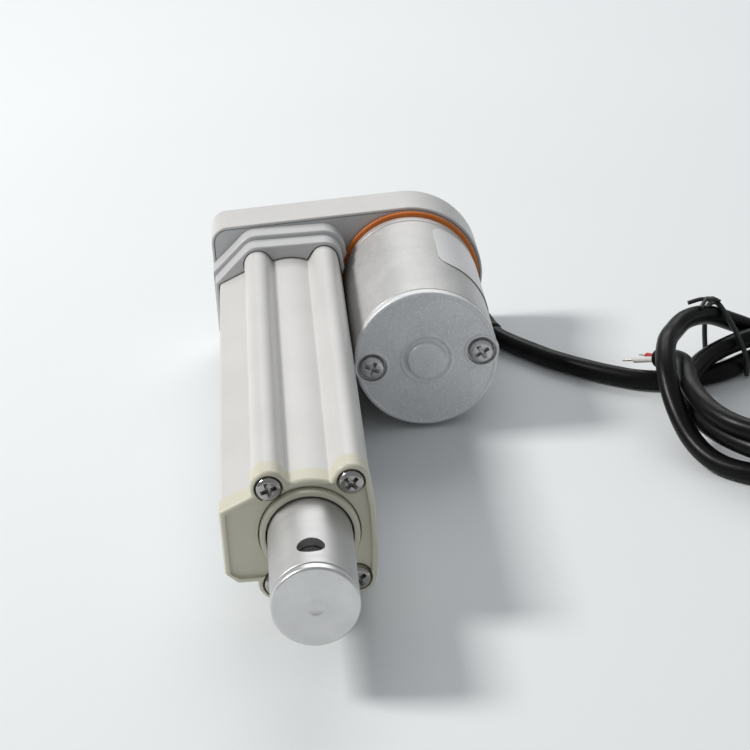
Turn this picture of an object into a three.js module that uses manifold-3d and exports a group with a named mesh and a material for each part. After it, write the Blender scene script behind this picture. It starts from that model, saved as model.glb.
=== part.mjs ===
// Electric linear actuator: a motor beside an extruded tube, both on a gearbox,
// with a rod that slides out of the tube.
// Millimetres, +X the way the rod comes out, +Y from the rod to the motor, +Z up.
// A station is a distance behind the rod's tip; y and z are measured from the rod's axis.
import * as THREE from "three";
import { mergeVertices } from "three/addons/utils/BufferGeometryUtils.js";
import Module from "manifold-3d";

const wasm = await Module();
wasm.setup();

const GAP = 0.3;
const TAU = 2 * Math.PI;

// Where the rod's tip and axis stand in the object's own frame.
const TIP = { x: 112.2, y: -17.8, z: 21.2 };
const FLOOR = -TIP.z;

const ROUND = { large: 40, medium: 24, small: 16, fine: 12, thread: 8 };

const STROKE = 100;
const SCREW_LEAD = 4;

const ROD = { r: 10, bore: 8, plugFlange: 2.2, plugEnd: 22, end: 158, holeAt: 10.4, hole: 3.2 };
const NUT = { flangeR: 11.1, flangeEnd: 168, spigotStart: 146, bore: 5.4 };
const SCREW = { r: 5, root: 4.1, start: 52, threadEnd: 176, collarR: 5.2, journalR: 3.2, end: 195.1 };

// The extruded profile: a round body, four screw ribs, a bowed side and a flat chamber on the other side.
const PROFILE = { bodyR: 13.9, bore: 11.5, ribR: 4, ribY: 9.6, ribZ: 12.7, ribShift: 0.9 };
const BOW = { edge: 14.6, middle: 15.4, shoulder: 5.5 };
const CHAMBER = { outer: 20.3, top: 10.6, shoulder: 13, corner: 7.3, low: 9, foot: 17.6, bottom: 11.4 };
const CHAMBER_HOLLOW = { outer: 19.1, inner: 13.2, top: 6.4, bottom: 9 };
const SLOT = { half: 2.75, from: 10.5, to: 14 };
const PILOT = { r: 1.9, depth: 16 };
const TUBE = { start: 39.7, end: 184.5 };

const CAP = { front: 33.2, back: 39.4, grow: 0.4, rim: 1.2, recess: 0.8, spigotR: 11.2, spigotEnd: 50 };
const CAP_BORE = { rodR: 10.3, wiperR: 12.1, wiperEnd: 36.4, sealStart: 36.8, sealEnd: 38.8 };
const WIPER = { front: 32.25, end: 36.1, lip: 33.6, r: 11.8 };
const CAP_SCREW = { headR: 3.1, head: 2.2, seat: 34.5, pocketR: 3.4, shankR: 1.6, length: 16 };
const PHILLIPS = { arm: 2.1, width: 0.9, depth: 1.1 };

const SOCKET = { front: 174, step: 180, growFront: 1.3, growBack: 2.6, floor: 184.8 };
const PLATE = { front: 186.3, back: 189.8 };

// The gearbox outline: two small corners at the tube's end, one large round end about the motor.
const CASE = { cornerY: -17, cornerTop: 15.3, cornerLow: -16.3, cornerR: 5, motorR: 22, wall: 2 };
const COVER = { front: 186.3, floor: 199.5, edge: 200, back: 202, chamfer: 2 };
const COVER_BOSS = { r: 3, start: 190.1, hole: 1.9 };
const COVER_SCREWS = [
  { y: -16.2, z: 14.4 },
  { y: -16.2, z: -14.4 },
  { y: 33, z: 16.4 },
  { y: 33, z: -16.4 },
];
const COVER_SCREW = { headR: 2.9, head: 1.8, seat: 202.3, shankR: 1.5, tip: 187.6 };
const LUG = { at: 215.4, r: 9, half: 10, webHalf: 6, flare: 15, flareEnd: 207, bore: 4.5 };
const BUSH = { outer: 4.2, inner: 3.2 };

const MOTOR = { y: 35.6, r: 19.7, inner: 18.3, face: 125.8, capBack: 128.4, canBack: 181.2, back: 184.5 };
const MOTOR_BOSS = { ringR: 6.9, ring: 0.6, r: 5.3, height: 1.7 };
const MOTOR_SCREW = {
  at: 15.15,
  tilt: (4.5 * Math.PI) / 180,
  headR: 3.5,
  ringR: 4.05,
  ring: 1,
  head: 1.9,
  r: 1.4,
};
const MOTOR_PILOT = { r: 1.7, end: 188.8 };
const NOSE = { r: 6, end: 188.4, hole: 6.3, bush: 4.2 };
const MOTOR_BUSH = { outer: 3.9, inner: 2.3 };
const SHAFT = { r: 2, start: 125.6, end: 199.1 };
const ARMATURE = {
  r: 12.7,
  start: 142,
  end: 172,
  poles: 8,
  slotR: 2.3,
  slotAt: 8.6,
  slotHalf: 0.7,
  bore: 2.3,
};
const WINDING = { inner: 4.4, outer: 11.6, length: 6.2, crown: 1.6 };
const COMMUTATOR = { r: 4.6, start: 130.6, end: 135.2, bars: 8, slit: 0.25, depth: 0.8 };
const BRUSH = { from: 4.95, to: 10.6, half: 1.7, start: 131.2, end: 134.8, boxWall: 0.9, boxFrom: 6.4 };
const BRUSH_PLATE = { r: 17.9, start: 128.7, end: 129.9, hole: 5.4, notch: 2.2 };
const MAGNET = { inner: 13.2, outer: 18, start: 138, end: 178, halfAngle: (58 * Math.PI) / 180 };
const GASKET = { front: 184.8, back: 186, inner: 17.4, outer: 20.9 };
const LABEL = { inner: 19.87, outer: 20.07, start: 149.5, end: 178 };

const GEAR = { module: 0.8, pressure: (25 * Math.PI) / 180, addendum: 0.8, dedendum: 1, backlash: 0.15 };
const TEETH = { motorPinion: 9, idlerWheel: 39, idlerPinion: 9, output: 32 };
const LEVEL = { front: 190.3, frontEnd: 194.8, wheel: 195.4, wheelEnd: 198.9 };
const IDLER_PIN = { r: 1.5, bore: 1.8, start: 187.8, end: 201.1 };
const BEARING = { outer: 9.5, outerIn: 7.9, cageOut: 7.6, cageIn: 5.6, innerOut: 5.3, inner: 3.5, seat: 9.8 };
const BEARING_WIDTH = { start: 184.4, end: 189.5, cage: 0.8 };

const STRIKER = { start: 160, end: 167, from: 11.5, to: 15.2, half: 2.2, ramp: 1.2 };
const BOARD = { start: 48, end: 178, from: 18, to: 18.8, top: 6, bottom: 8.6 };
const SWITCH = { half: 6.4, from: 14.3, to: 17.7, bottom: 8.4, top: 3.9, well: 1.3, wellFloor: 6.8, y: 16 };
const PLUNGER = { r: 0.95, top: 2.5, foot: 5.6 };
const DIODE = { r: 1.1, length: 4.6, band: 0.8, y: 16.5, z: 3.2, first: 98, pitch: 9 };

const CORD = { r: 2.75, sides: 10, steps: 26 };
const EXIT = { station: 194, z: -17, wallHole: 3.5, from: 43.5, to: 54 };
const BOOT = { r: 3.2, sides: 16, steps: 14 };
const COIL = { station: 112, y: 146, inner: 38.4, outer: 49.6, height: 11, chamfer: 2.4 };
const TIE = { angle: Math.atan2(-22, -34.7), width: 3, wall: 0.8 };
const CORE_END = {
  station: 140,
  y: 102.8,
  angle: (-143 * Math.PI) / 180,
  spread: 0.05,
  apart: 1.3,
  length: 11,
  r: 0.85,
  height: 8.4,
};

const FINISH = {
  castGrey: { color: 0xb9bab4, roughness: 0.48, metalness: 0.2 },
  plateGrey: { color: 0x8b8d88, roughness: 0.55, metalness: 0.2 },
  tubeGrey: { color: 0xc4c3ba, roughness: 0.45, metalness: 0.25 },
  ivory: { color: 0xd9d6c2, roughness: 0.5, metalness: 0 },
  motorGrey: { color: 0xa6a7a4, roughness: 0.42, metalness: 0.45 },
  rodSteel: { color: 0xc3c4c0, roughness: 0.3, metalness: 0.9 },
  nickel: { color: 0x9c9a90, roughness: 0.22, metalness: 1 },
  zinc: { color: 0xb9bab6, roughness: 0.3, metalness: 1 },
  steel: { color: 0x8e9092, roughness: 0.35, metalness: 0.9 },
  bronze: { color: 0xa9824a, roughness: 0.4, metalness: 0.85 },
  copper: { color: 0xb4612f, roughness: 0.4, metalness: 0.9 },
  carbon: { color: 0x232325, roughness: 0.7, metalness: 0.1 },
  ferrite: { color: 0x3a3a3d, roughness: 0.75, metalness: 0.1 },
  orange: { color: 0xd9822b, roughness: 0.6, metalness: 0 },
  acetal: { color: 0xe9e7df, roughness: 0.45, metalness: 0 },
  blackRubber: { color: 0x1b1b1c, roughness: 0.65, metalness: 0 },
  blackPlastic: { color: 0x222224, roughness: 0.5, metalness: 0 },
  boardGreen: { color: 0x2c6b3f, roughness: 0.5, metalness: 0 },
  paper: { color: 0xe8e8e6, roughness: 0.6, metalness: 0 },
};

// ---- solids ----

function facesOut(geometry) {
  const p = geometry.getAttribute("position");
  const index = geometry.index.array;
  const [a, b, c] = [new THREE.Vector3(), new THREE.Vector3(), new THREE.Vector3()];
  let volume = 0;
  for (let i = 0; i < index.length; i += 3) {
    a.fromBufferAttribute(p, index[i]);
    b.fromBufferAttribute(p, index[i + 1]);
    c.fromBufferAttribute(p, index[i + 2]);
    volume += a.dot(b.cross(c));
  }
  return volume > 0;
}

function solid(geometry) {
  const bare = geometry.clone();
  bare.deleteAttribute("normal");
  bare.deleteAttribute("uv");
  const merged = mergeVertices(bare, 1e-4);
  const kept = [];
  const index = merged.index.array;
  const outward = facesOut(merged);
  for (let i = 0; i < index.length; i += 3) {
    const forward = [index[i], index[i + 1], index[i + 2]];
    const backward = [index[i], index[i + 2], index[i + 1]];
    const [a, b, c] = outward ? forward : backward;
    if (a !== b && b !== c && c !== a) kept.push(a, b, c);
  }
  const vertProperties = merged.getAttribute("position").array;
  const triVerts = new Uint32Array(kept);
  return new wasm.Manifold(new wasm.Mesh({ numProp: 3, vertProperties, triVerts }));
}

function node(name, body, finish) {
  const placed = body.translate([TIP.x, TIP.y, TIP.z]).getMesh();
  const geometry = new THREE.BufferGeometry();
  geometry.setAttribute("position", new THREE.BufferAttribute(new Float32Array(placed.vertProperties), 3));
  geometry.setIndex(new THREE.BufferAttribute(new Uint32Array(placed.triVerts), 1));
  geometry.computeVertexNormals();
  const mesh = new THREE.Mesh(geometry, new THREE.MeshStandardMaterial(finish));
  mesh.name = name;
  return mesh;
}

const union = (...bodies) => bodies.reduce((a, b) => a.add(b));
const cut = (body, ...tools) => tools.reduce((a, b) => a.subtract(b), body);
const along = (body, y, z = 0) => body.translate([0, y, z]);
const turnX = (body, angle) => body.rotate([(angle * 360) / TAU, 0, 0]);

// An outline in the y-z plane pushed along X, between two stations.
function prism(outline, from, to) {
  const shape = new THREE.Shape(outline.map(([y, z]) => new THREE.Vector2(y, z)));
  const geometry = new THREE.ExtrudeGeometry(shape, { depth: to - from, bevelEnabled: false });
  const axes = [new THREE.Vector3(0, 1, 0), new THREE.Vector3(0, 0, 1), new THREE.Vector3(1, 0, 0)];
  geometry.applyMatrix4(new THREE.Matrix4().makeBasis(...axes).setPosition(-to, 0, 0));
  return solid(geometry);
}

// An outline in the x-y plane, given as stations and y, pushed up between two heights.
function slab(outline, bottom, top) {
  const shape = new THREE.Shape(outline.map(([station, y]) => new THREE.Vector2(-station, y)));
  const geometry = new THREE.ExtrudeGeometry(shape, { depth: top - bottom, bevelEnabled: false });
  geometry.translate(0, 0, bottom);
  return solid(geometry);
}

function box(from, to, y0, y1, z0, z1) {
  const geometry = new THREE.BoxGeometry(to - from, y1 - y0, z1 - z0);
  geometry.translate(-(from + to) / 2, (y0 + y1) / 2, (z0 + z1) / 2);
  return solid(geometry);
}

// A solid turned about the X axis; the profile is a list of stations and radii that closes on itself.
function turned(profile, segments = ROUND.large) {
  const points = [...profile, profile[0]].map(([station, r]) => new THREE.Vector2(r, -station));
  const geometry = new THREE.LatheGeometry(points, segments);
  const axes = [new THREE.Vector3(0, 0, 1), new THREE.Vector3(1, 0, 0), new THREE.Vector3(0, 1, 0)];
  geometry.applyMatrix4(new THREE.Matrix4().makeBasis(...axes));
  return solid(geometry);
}

const disc = (r, from, to, segments = ROUND.large) =>
  turned([[from, 0], [from, r], [to, r], [to, 0]], segments);

const ring = (inner, outer, from, to, segments = ROUND.large) =>
  turned([[from, inner], [from, outer], [to, outer], [to, inner]], segments);

function upright(r, station, y, bottom, top, segments = ROUND.small) {
  const geometry = new THREE.CylinderGeometry(r, r, top - bottom, segments);
  geometry.rotateX(Math.PI / 2);
  geometry.translate(-station, y, (bottom + top) / 2);
  return solid(geometry);
}

function sideways(r, station, z, from, to, segments = ROUND.small) {
  const geometry = new THREE.CylinderGeometry(r, r, to - from, segments);
  geometry.translate(-station, (from + to) / 2, z);
  return solid(geometry);
}

// ---- outlines ----

const ribs = [1, -1].flatMap((up) =>
  [-1, 1].map((side) => ({ y: PROFILE.ribShift + side * PROFILE.ribY, z: up * PROFILE.ribZ })),
);

// The tube's profile as a solid, its surface moved out by grow.
function profile(from, to, grow) {
  const g = grow;
  const bow = [
    [0, -PROFILE.ribZ - g * 0.5],
    [BOW.edge + g, -PROFILE.ribZ],
    [BOW.middle + g, -BOW.shoulder],
    [BOW.middle + g, BOW.shoulder],
    [BOW.edge + g, PROFILE.ribZ],
    [0, PROFILE.ribZ + g * 0.5],
  ];
  const chamber = [
    [-CHAMBER.outer - g, -CHAMBER.low],
    [-CHAMBER.foot - g * 0.5, -CHAMBER.bottom - g],
    [-PROFILE.ribY, -CHAMBER.bottom - g],
    [-PROFILE.ribY, CHAMBER.top + g],
    [-CHAMBER.shoulder, CHAMBER.top + g],
    [-CHAMBER.outer - g, CHAMBER.corner + g * 0.5],
  ];
  const corners = ribs.map(({ y, z }) => along(disc(PROFILE.ribR + g, from, to, ROUND.small), y, z));
  return union(disc(PROFILE.bodyR + g, from, to), prism(bow, from, to), prism(chamber, from, to), ...corners);
}

function hull(points) {
  const sorted = [...points].sort((a, b) => a.y - b.y || a.z - b.z);
  const half = (list) => {
    const out = [];
    for (const p of list) {
      while (out.length > 1) {
        const [a, b] = [out[out.length - 2], out[out.length - 1]];
        if ((b.y - a.y) * (p.z - a.z) - (b.z - a.z) * (p.y - a.y) > 1e-9) break;
        out.pop();
      }
      out.push(p);
    }
    return out.slice(0, -1);
  };
  return [...half(sorted), ...half(sorted.reverse())];
}

// The tube's outline moved out by grow, with the hollows between its ribs bridged.
function collar(from, to, grow) {
  const rounds = ribs.flatMap(({ y, z }) =>
    Array.from({ length: ROUND.medium }, (_, i) => {
      const angle = (i * TAU) / ROUND.medium;
      const r = PROFILE.ribR + grow;
      return [y + r * Math.cos(angle), z + r * Math.sin(angle)];
    }),
  );
  const corners = [
    [BOW.edge + grow, PROFILE.ribZ],
    [BOW.middle + grow, BOW.shoulder],
    [BOW.middle + grow, -BOW.shoulder],
    [BOW.edge + grow, -PROFILE.ribZ],
    [-CHAMBER.foot - grow / 2, -CHAMBER.bottom - grow],
    [-CHAMBER.outer - grow, -CHAMBER.low],
    [-CHAMBER.outer - grow, CHAMBER.corner + grow / 2],
    [-CHAMBER.shoulder, CHAMBER.top + grow],
  ];
  const outline = hull([...rounds, ...corners].map(([y, z]) => ({ y, z })));
  return prism(outline.map(({ y, z }) => [y, z]), from, to);
}

// The gearbox outline's points, each with the way it moves when the outline grows.
function caseOutline() {
  const rounds = [
    { y: CASE.cornerY, z: CASE.cornerTop, r: CASE.cornerR },
    { y: CASE.cornerY, z: CASE.cornerLow, r: CASE.cornerR },
    { y: MOTOR.y, z: 0, r: CASE.motorR },
  ];
  const points = rounds.flatMap((c) =>
    Array.from({ length: ROUND.large }, (_, i) => {
      const [dy, dz] = [Math.cos((i * TAU) / ROUND.large), Math.sin((i * TAU) / ROUND.large)];
      return { y: c.y + c.r * dy, z: c.z + c.r * dz, dy, dz };
    }),
  );
  return hull(points);
}

const casePoints = caseOutline();
const caseAt = (grow) => casePoints.map((p) => [p.y + grow * p.dy, p.z + grow * p.dz]);

// The gearbox outline with a flat foot along its lower edge.
function casePrism(from, to, grow) {
  const foot = FLOOR - grow;
  const below = box(from - 1, to + 1, -2 * MOTOR.r, 4 * MOTOR.r, foot - MOTOR.r, foot);
  return cut(prism(caseAt(grow), from, to), below);
}

// The gearbox outline drawn in by chamfer over the length.
function caseChamfer(from, to, chamfer) {
  const [wide, narrow] = [caseAt(0), caseAt(-chamfer)];
  const n = wide.length;
  const flat = (points, station) => points.flatMap(([y, z]) => [-station, y, z]);
  const geometry = new THREE.BufferGeometry();
  const middles = [-from, MOTOR.y / 2, 0, -to, MOTOR.y / 2, 0];
  const vertices = [...flat(wide, from), ...flat(narrow, to), ...middles];
  geometry.setAttribute("position", new THREE.Float32BufferAttribute(vertices, 3));
  const index = [];
  for (let i = 0; i < n; i++) {
    const j = (i + 1) % n;
    index.push(i, j, n + i, j, n + j, n + i, i, 2 * n, j, n + i, n + j, 2 * n + 1);
  }
  geometry.setIndex(index);
  const below = box(from - 1, to + 1, -2 * MOTOR.r, 4 * MOTOR.r, FLOOR - MOTOR.r, FLOOR);
  return cut(solid(geometry), below);
}

// ---- toothed wheels ----

const involute = (angle) => Math.tan(angle) - angle;
const pitchRadius = (teeth) => (GEAR.module * teeth) / 2;

function gearOutline(teeth, phase) {
  const pitch = pitchRadius(teeth);
  const base = pitch * Math.cos(GEAR.pressure);
  const tip = pitch + GEAR.module * GEAR.addendum;
  const root = pitch - GEAR.module * GEAR.dedendum;
  const halfAtPitch = TAU / (4 * teeth) - GEAR.backlash / (4 * pitch);
  const halfAt = (r) => {
    const here = r > base ? involute(Math.acos(base / r)) : 0;
    return halfAtPitch + involute(GEAR.pressure) - here;
  };
  const start = Math.max(base, root);
  const radii = [root, (start + pitch) / 2, (pitch + tip) / 2, tip];
  const outline = [];
  for (let t = 0; t < teeth; t++) {
    const middle = phase + (t * TAU) / teeth;
    const at = (r, angle) => outline.push([r * Math.cos(angle), r * Math.sin(angle)]);
    for (const r of radii) at(r, middle - halfAt(r));
    for (const r of [...radii].reverse()) at(r, middle + halfAt(r));
  }
  return outline;
}

const idlerY = pitchRadius(TEETH.idlerPinion) + pitchRadius(TEETH.output);

function motorPinion() {
  const body = prism(gearOutline(TEETH.motorPinion, Math.PI), LEVEL.wheel, LEVEL.wheelEnd);
  return node(
    "motor_pinion",
    along(cut(body, disc(SHAFT.r + GAP, LEVEL.wheel - 1, LEVEL.wheelEnd + 1, ROUND.small)), MOTOR.y),
    FINISH.steel,
  );
}

function idlerGear() {
  const wheelPhase = TAU / (2 * TEETH.idlerWheel);
  const wheel = prism(gearOutline(TEETH.idlerWheel, wheelPhase), LEVEL.wheel, LEVEL.wheelEnd);
  const pinion = prism(gearOutline(TEETH.idlerPinion, Math.PI), LEVEL.front, LEVEL.wheel + GAP);
  const bore = disc(IDLER_PIN.bore, LEVEL.front - 1, LEVEL.wheelEnd + 1, ROUND.small);
  return node("idler_gear", along(cut(union(wheel, pinion), bore), idlerY), FINISH.acetal);
}

function outputGear() {
  const phase = TAU / (2 * TEETH.output);
  const wheel = prism(gearOutline(TEETH.output, phase), LEVEL.front, LEVEL.frontEnd);
  const bore = disc(SCREW.journalR + GAP, LEVEL.front - 1, LEVEL.frontEnd + 1, ROUND.small);
  return node("output_gear", cut(wheel, bore), FINISH.steel);
}

// ---- fasteners ----

function crossRecess(top) {
  const bars = [0, 1].map((quarter) => {
    const bar = box(
      top - 1,
      top + PHILLIPS.depth,
      -PHILLIPS.arm,
      PHILLIPS.arm,
      -PHILLIPS.width / 2,
      PHILLIPS.width / 2,
    );
    return turnX(bar, (quarter * TAU) / 4);
  });
  return union(...bars);
}

// A pan-head screw whose head faces +X, its seat at a station.
function panScrew(seat, headR, head, shankR, end) {
  const top = seat - head;
  const outline = [
    [top, 0],
    [top, headR * 0.55],
    [top + head * 0.22, headR * 0.85],
    [top + head * 0.6, headR],
    [seat, headR],
    [seat, shankR],
    [end, shankR],
    [end, 0],
  ];
  return cut(turned(outline, ROUND.small), crossRecess(top));
}

function capScrews() {
  return ribs.map(({ y, z }, i) => {
    const body = panScrew(
      CAP_SCREW.seat,
      CAP_SCREW.headR,
      CAP_SCREW.head,
      CAP_SCREW.shankR,
      CAP_SCREW.seat + CAP_SCREW.length,
    );
    return node(`cap_screw_${i + 1}`, along(turnX(body, (i + 1) * 0.6), y, z), FINISH.nickel);
  });
}

const motorScrewSpots = [1, -1].map((side) => ({
  y: MOTOR.y + side * MOTOR_SCREW.at * Math.cos(MOTOR_SCREW.tilt),
  z: side * MOTOR_SCREW.at * Math.sin(MOTOR_SCREW.tilt),
}));

function motorScrews() {
  return motorScrewSpots.map(({ y, z }, i) => {
    const seat = MOTOR.face + MOTOR_SCREW.ring - GAP;
    const body = panScrew(seat, MOTOR_SCREW.headR, MOTOR_SCREW.head, MOTOR_SCREW.r, MOTOR_PILOT.end - GAP);
    return node(`motor_screw_${i + 1}`, along(turnX(body, i + 0.4), y, z), FINISH.zinc);
  });
}

function coverScrews() {
  return COVER_SCREWS.map(({ y, z }, i) => {
    const mirrored = panScrew(
      -COVER_SCREW.seat,
      COVER_SCREW.headR,
      COVER_SCREW.head,
      COVER_SCREW.shankR,
      -COVER_SCREW.tip,
    );
    return node(
      `cover_screw_${i + 1}`,
      along(turnX(mirrored.rotate([0, 180, 0]), i * 0.7), y, z),
      FINISH.zinc,
    );
  });
}

// ---- rod, nut and lead screw ----

function pushRod() {
  const tube = ring(ROD.bore, ROD.r, ROD.plugFlange + GAP, ROD.end);
  const hole = upright(ROD.hole, ROD.holeAt, 0, -2 * ROD.r, 2 * ROD.r, ROUND.small);
  return node("push_rod", cut(tube, hole), FINISH.rodSteel);
}

function rodEndPlug() {
  const r = ROD.bore - GAP;
  const outline = [
    [0, 0],
    [0, ROD.r - 0.5],
    [0.5, ROD.r],
    [ROD.plugFlange, ROD.r],
    [ROD.plugFlange, r],
    [ROD.plugEnd, r],
    [ROD.plugEnd, 0],
  ];
  const dimple = turned([[-1, 0], [-1, 2.2], [0.8, 0]], ROUND.fine);
  const hole = upright(ROD.hole, ROD.holeAt, 0, -2 * ROD.r, 2 * ROD.r, ROUND.small);
  return node("rod_end_plug", cut(turned(outline), hole, dimple), FINISH.rodSteel);
}

function driveNut() {
  const outline = [
    [NUT.spigotStart, NUT.bore],
    [NUT.spigotStart, ROD.bore - GAP],
    [ROD.end + GAP, ROD.bore - GAP],
    [ROD.end + GAP, NUT.flangeR],
    [NUT.flangeEnd - 1, NUT.flangeR],
    [NUT.flangeEnd, NUT.flangeR - 1],
    [NUT.flangeEnd, NUT.bore],
  ];
  return node("drive_nut", turned(outline), FINISH.acetal);
}

// A rod with a helical ridge: its radius rises and falls once in each lead of the helix.
function threadedBar(from, to) {
  const columns = ROUND.thread;
  const ridge = [
    [0, SCREW.root],
    [0.3, SCREW.root],
    [0.42, SCREW.r],
    [0.88, SCREW.r],
  ];
  const turns = Math.ceil((to - from) / SCREW_LEAD) + 2;
  const rows = turns * ridge.length;
  const vertices = [];
  for (let c = 0; c <= columns; c++) {
    const angle = (c * TAU) / columns;
    for (let row = 0; row < rows; row++) {
      const [share, r] = ridge[row % ridge.length];
      const lead = Math.floor(row / ridge.length) + share + c / columns;
      vertices.push(-to - 2 * SCREW_LEAD + lead * SCREW_LEAD, r * Math.cos(angle), r * Math.sin(angle));
    }
  }
  const centres = vertices.length / 3;
  vertices.push(-to - 2 * SCREW_LEAD, 0, 0, -to + (turns - 1) * SCREW_LEAD, 0, 0);
  const index = [];
  for (let c = 0; c < columns; c++) {
    for (let row = 0; row < rows - 1; row++) {
      const a = c * rows + row;
      index.push(a, a + rows, a + 1, a + 1, a + rows, a + rows + 1);
    }
    index.push(c * rows, centres, (c + 1) * rows);
    index.push(c * rows + rows - 1, (c + 1) * rows + rows - 1, centres + 1);
  }
  // The first and last columns are one lead apart, so a radial wall joins them at each end.
  const lap = ridge.length;
  for (let row = 0; row < lap; row++) {
    index.push(row, row + 1, centres);
    index.push(columns * rows + rows - 1 - row, columns * rows + rows - 2 - row, centres + 1);
  }
  const geometry = new THREE.BufferGeometry();
  geometry.setAttribute("position", new THREE.Float32BufferAttribute(vertices, 3));
  geometry.setIndex(index);
  return solid(geometry).intersect(disc(2 * SCREW.r, from, to, ROUND.thread));
}

function leadScrew() {
  const collar = disc(SCREW.collarR, SCREW.threadEnd, BEARING_WIDTH.start - GAP, ROUND.medium);
  const journal = disc(SCREW.journalR, SCREW.threadEnd, SCREW.end, ROUND.small);
  const thread = threadedBar(SCREW.start, SCREW.threadEnd + GAP);
  return node("lead_screw", union(thread, collar, journal), FINISH.steel);
}

function bearing() {
  const { start, end, cage } = BEARING_WIDTH;
  return [
    node("bearing_outer_ring", ring(BEARING.outerIn, BEARING.outer, start, end, ROUND.medium), FINISH.steel),
    node(
      "bearing_cage",
      ring(BEARING.cageIn, BEARING.cageOut, start + cage, end - cage, ROUND.medium),
      FINISH.bronze,
    ),
    node("bearing_inner_ring", ring(BEARING.inner, BEARING.innerOut, start, end, ROUND.medium), FINISH.steel),
  ];
}

// ---- tube and cap ----

function outerTube() {
  const { start, end } = TUBE;
  const [before, past] = [start - 1, end + 1];
  const chamber = box(
    before,
    past,
    -CHAMBER_HOLLOW.outer,
    -CHAMBER_HOLLOW.inner,
    -CHAMBER_HOLLOW.bottom,
    CHAMBER_HOLLOW.top,
  );
  const slot = box(before, past, -SLOT.to, -SLOT.from, -SLOT.half, SLOT.half);
  const pilots = ribs.map(({ y, z }) => along(disc(PILOT.r, before, start + PILOT.depth, ROUND.fine), y, z));
  const body = cut(profile(start, end, 0), disc(PROFILE.bore, before, past), chamber, slot, ...pilots);
  return node("outer_tube", body, FINISH.tubeGrey);
}

function frontCap() {
  const { front, back, grow, rim, recess } = CAP;
  const shell = union(profile(front, back, grow), disc(CAP.spigotR, back - 1, CAP.spigotEnd));
  const sunk = profile(front - 1, front + recess, grow - rim - 0.2);
  const seats = ribs.map(({ y, z }) => {
    const pocket = disc(CAP_SCREW.pocketR, front - 1, CAP_SCREW.seat + GAP, ROUND.small);
    return along(union(pocket, disc(PILOT.r, front, back + 1, ROUND.fine)), y, z);
  });
  const rodBore = disc(CAP_BORE.rodR, front - 1, CAP.spigotEnd + 1);
  const wiperBore = disc(CAP_BORE.wiperR, front - 1, CAP_BORE.wiperEnd);
  const sealGroove = disc(CAP_BORE.wiperR, CAP_BORE.sealStart, CAP_BORE.sealEnd);
  return node("front_cap", cut(shell, sunk, ...seats, rodBore, wiperBore, sealGroove), FINISH.ivory);
}

function rodWiper() {
  const outline = [
    [WIPER.front, CAP_BORE.rodR + 0.6],
    [WIPER.front, WIPER.r - 0.5],
    [WIPER.front + 0.5, WIPER.r],
    [WIPER.end, WIPER.r],
    [WIPER.end, CAP_BORE.rodR],
    [WIPER.lip, CAP_BORE.rodR],
  ];
  return node("rod_wiper", turned(outline), FINISH.ivory);
}

function rodSeal() {
  const { sealStart, sealEnd } = CAP_BORE;
  return node("rod_seal", ring(CAP_BORE.rodR, WIPER.r, sealStart + GAP, sealEnd - GAP), FINISH.blackRubber);
}

// ---- gearbox ----

function gearboxHousing() {
  const plate = casePrism(PLATE.front, PLATE.back, -CASE.wall - GAP);
  const collars = union(
    collar(SOCKET.front, SOCKET.step + 1, SOCKET.growFront),
    collar(SOCKET.step, PLATE.front + 1, SOCKET.growBack),
  );
  const motorSide = along(disc(GASKET.outer + 2 * GAP, SOCKET.front - 1, PLATE.front), MOTOR.y);
  const socket = cut(collars.intersect(casePrism(SOCKET.front - 1, PLATE.front, 0)), motorSide);
  const root = collars.intersect(casePrism(PLATE.front - 1, PLATE.front + 1, -CASE.wall - GAP));
  const holes = [
    profile(SOCKET.front - 1, SOCKET.floor, GAP),
    disc(BEARING.seat, SOCKET.floor - 1, PLATE.back + 1),
    along(disc(NOSE.hole, PLATE.front - 1, PLATE.back + 1, ROUND.medium), MOTOR.y),
    along(disc(IDLER_PIN.bore, IDLER_PIN.start - GAP, PLATE.back + 1, ROUND.fine), idlerY),
    ...motorScrewSpots.map(({ y, z }) =>
      along(disc(MOTOR_PILOT.r, PLATE.front - 1, MOTOR_PILOT.end, ROUND.fine), y, z)),
    ...COVER_SCREWS.map(({ y, z }) =>
      along(disc(COVER_BOSS.hole, COVER_SCREW.tip - GAP, PLATE.back + 1, ROUND.fine), y, z)),
  ];
  return node("gearbox_housing", cut(union(plate, socket, cut(root, motorSide)), ...holes), FINISH.plateGrey);
}

function rearLug() {
  const web = slab(
    [
      [COVER.edge, -LUG.flare],
      [COVER.back, -LUG.flare],
      [LUG.flareEnd, -LUG.r],
      [LUG.at, -LUG.r],
      [LUG.at, LUG.r],
      [LUG.flareEnd, LUG.r],
      [COVER.back, LUG.flare],
      [COVER.edge, LUG.flare],
    ],
    -LUG.webHalf,
    LUG.webHalf,
  );
  const eye = upright(LUG.r, LUG.at, 0, -LUG.half, LUG.half, ROUND.medium);
  return union(web, eye);
}

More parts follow.
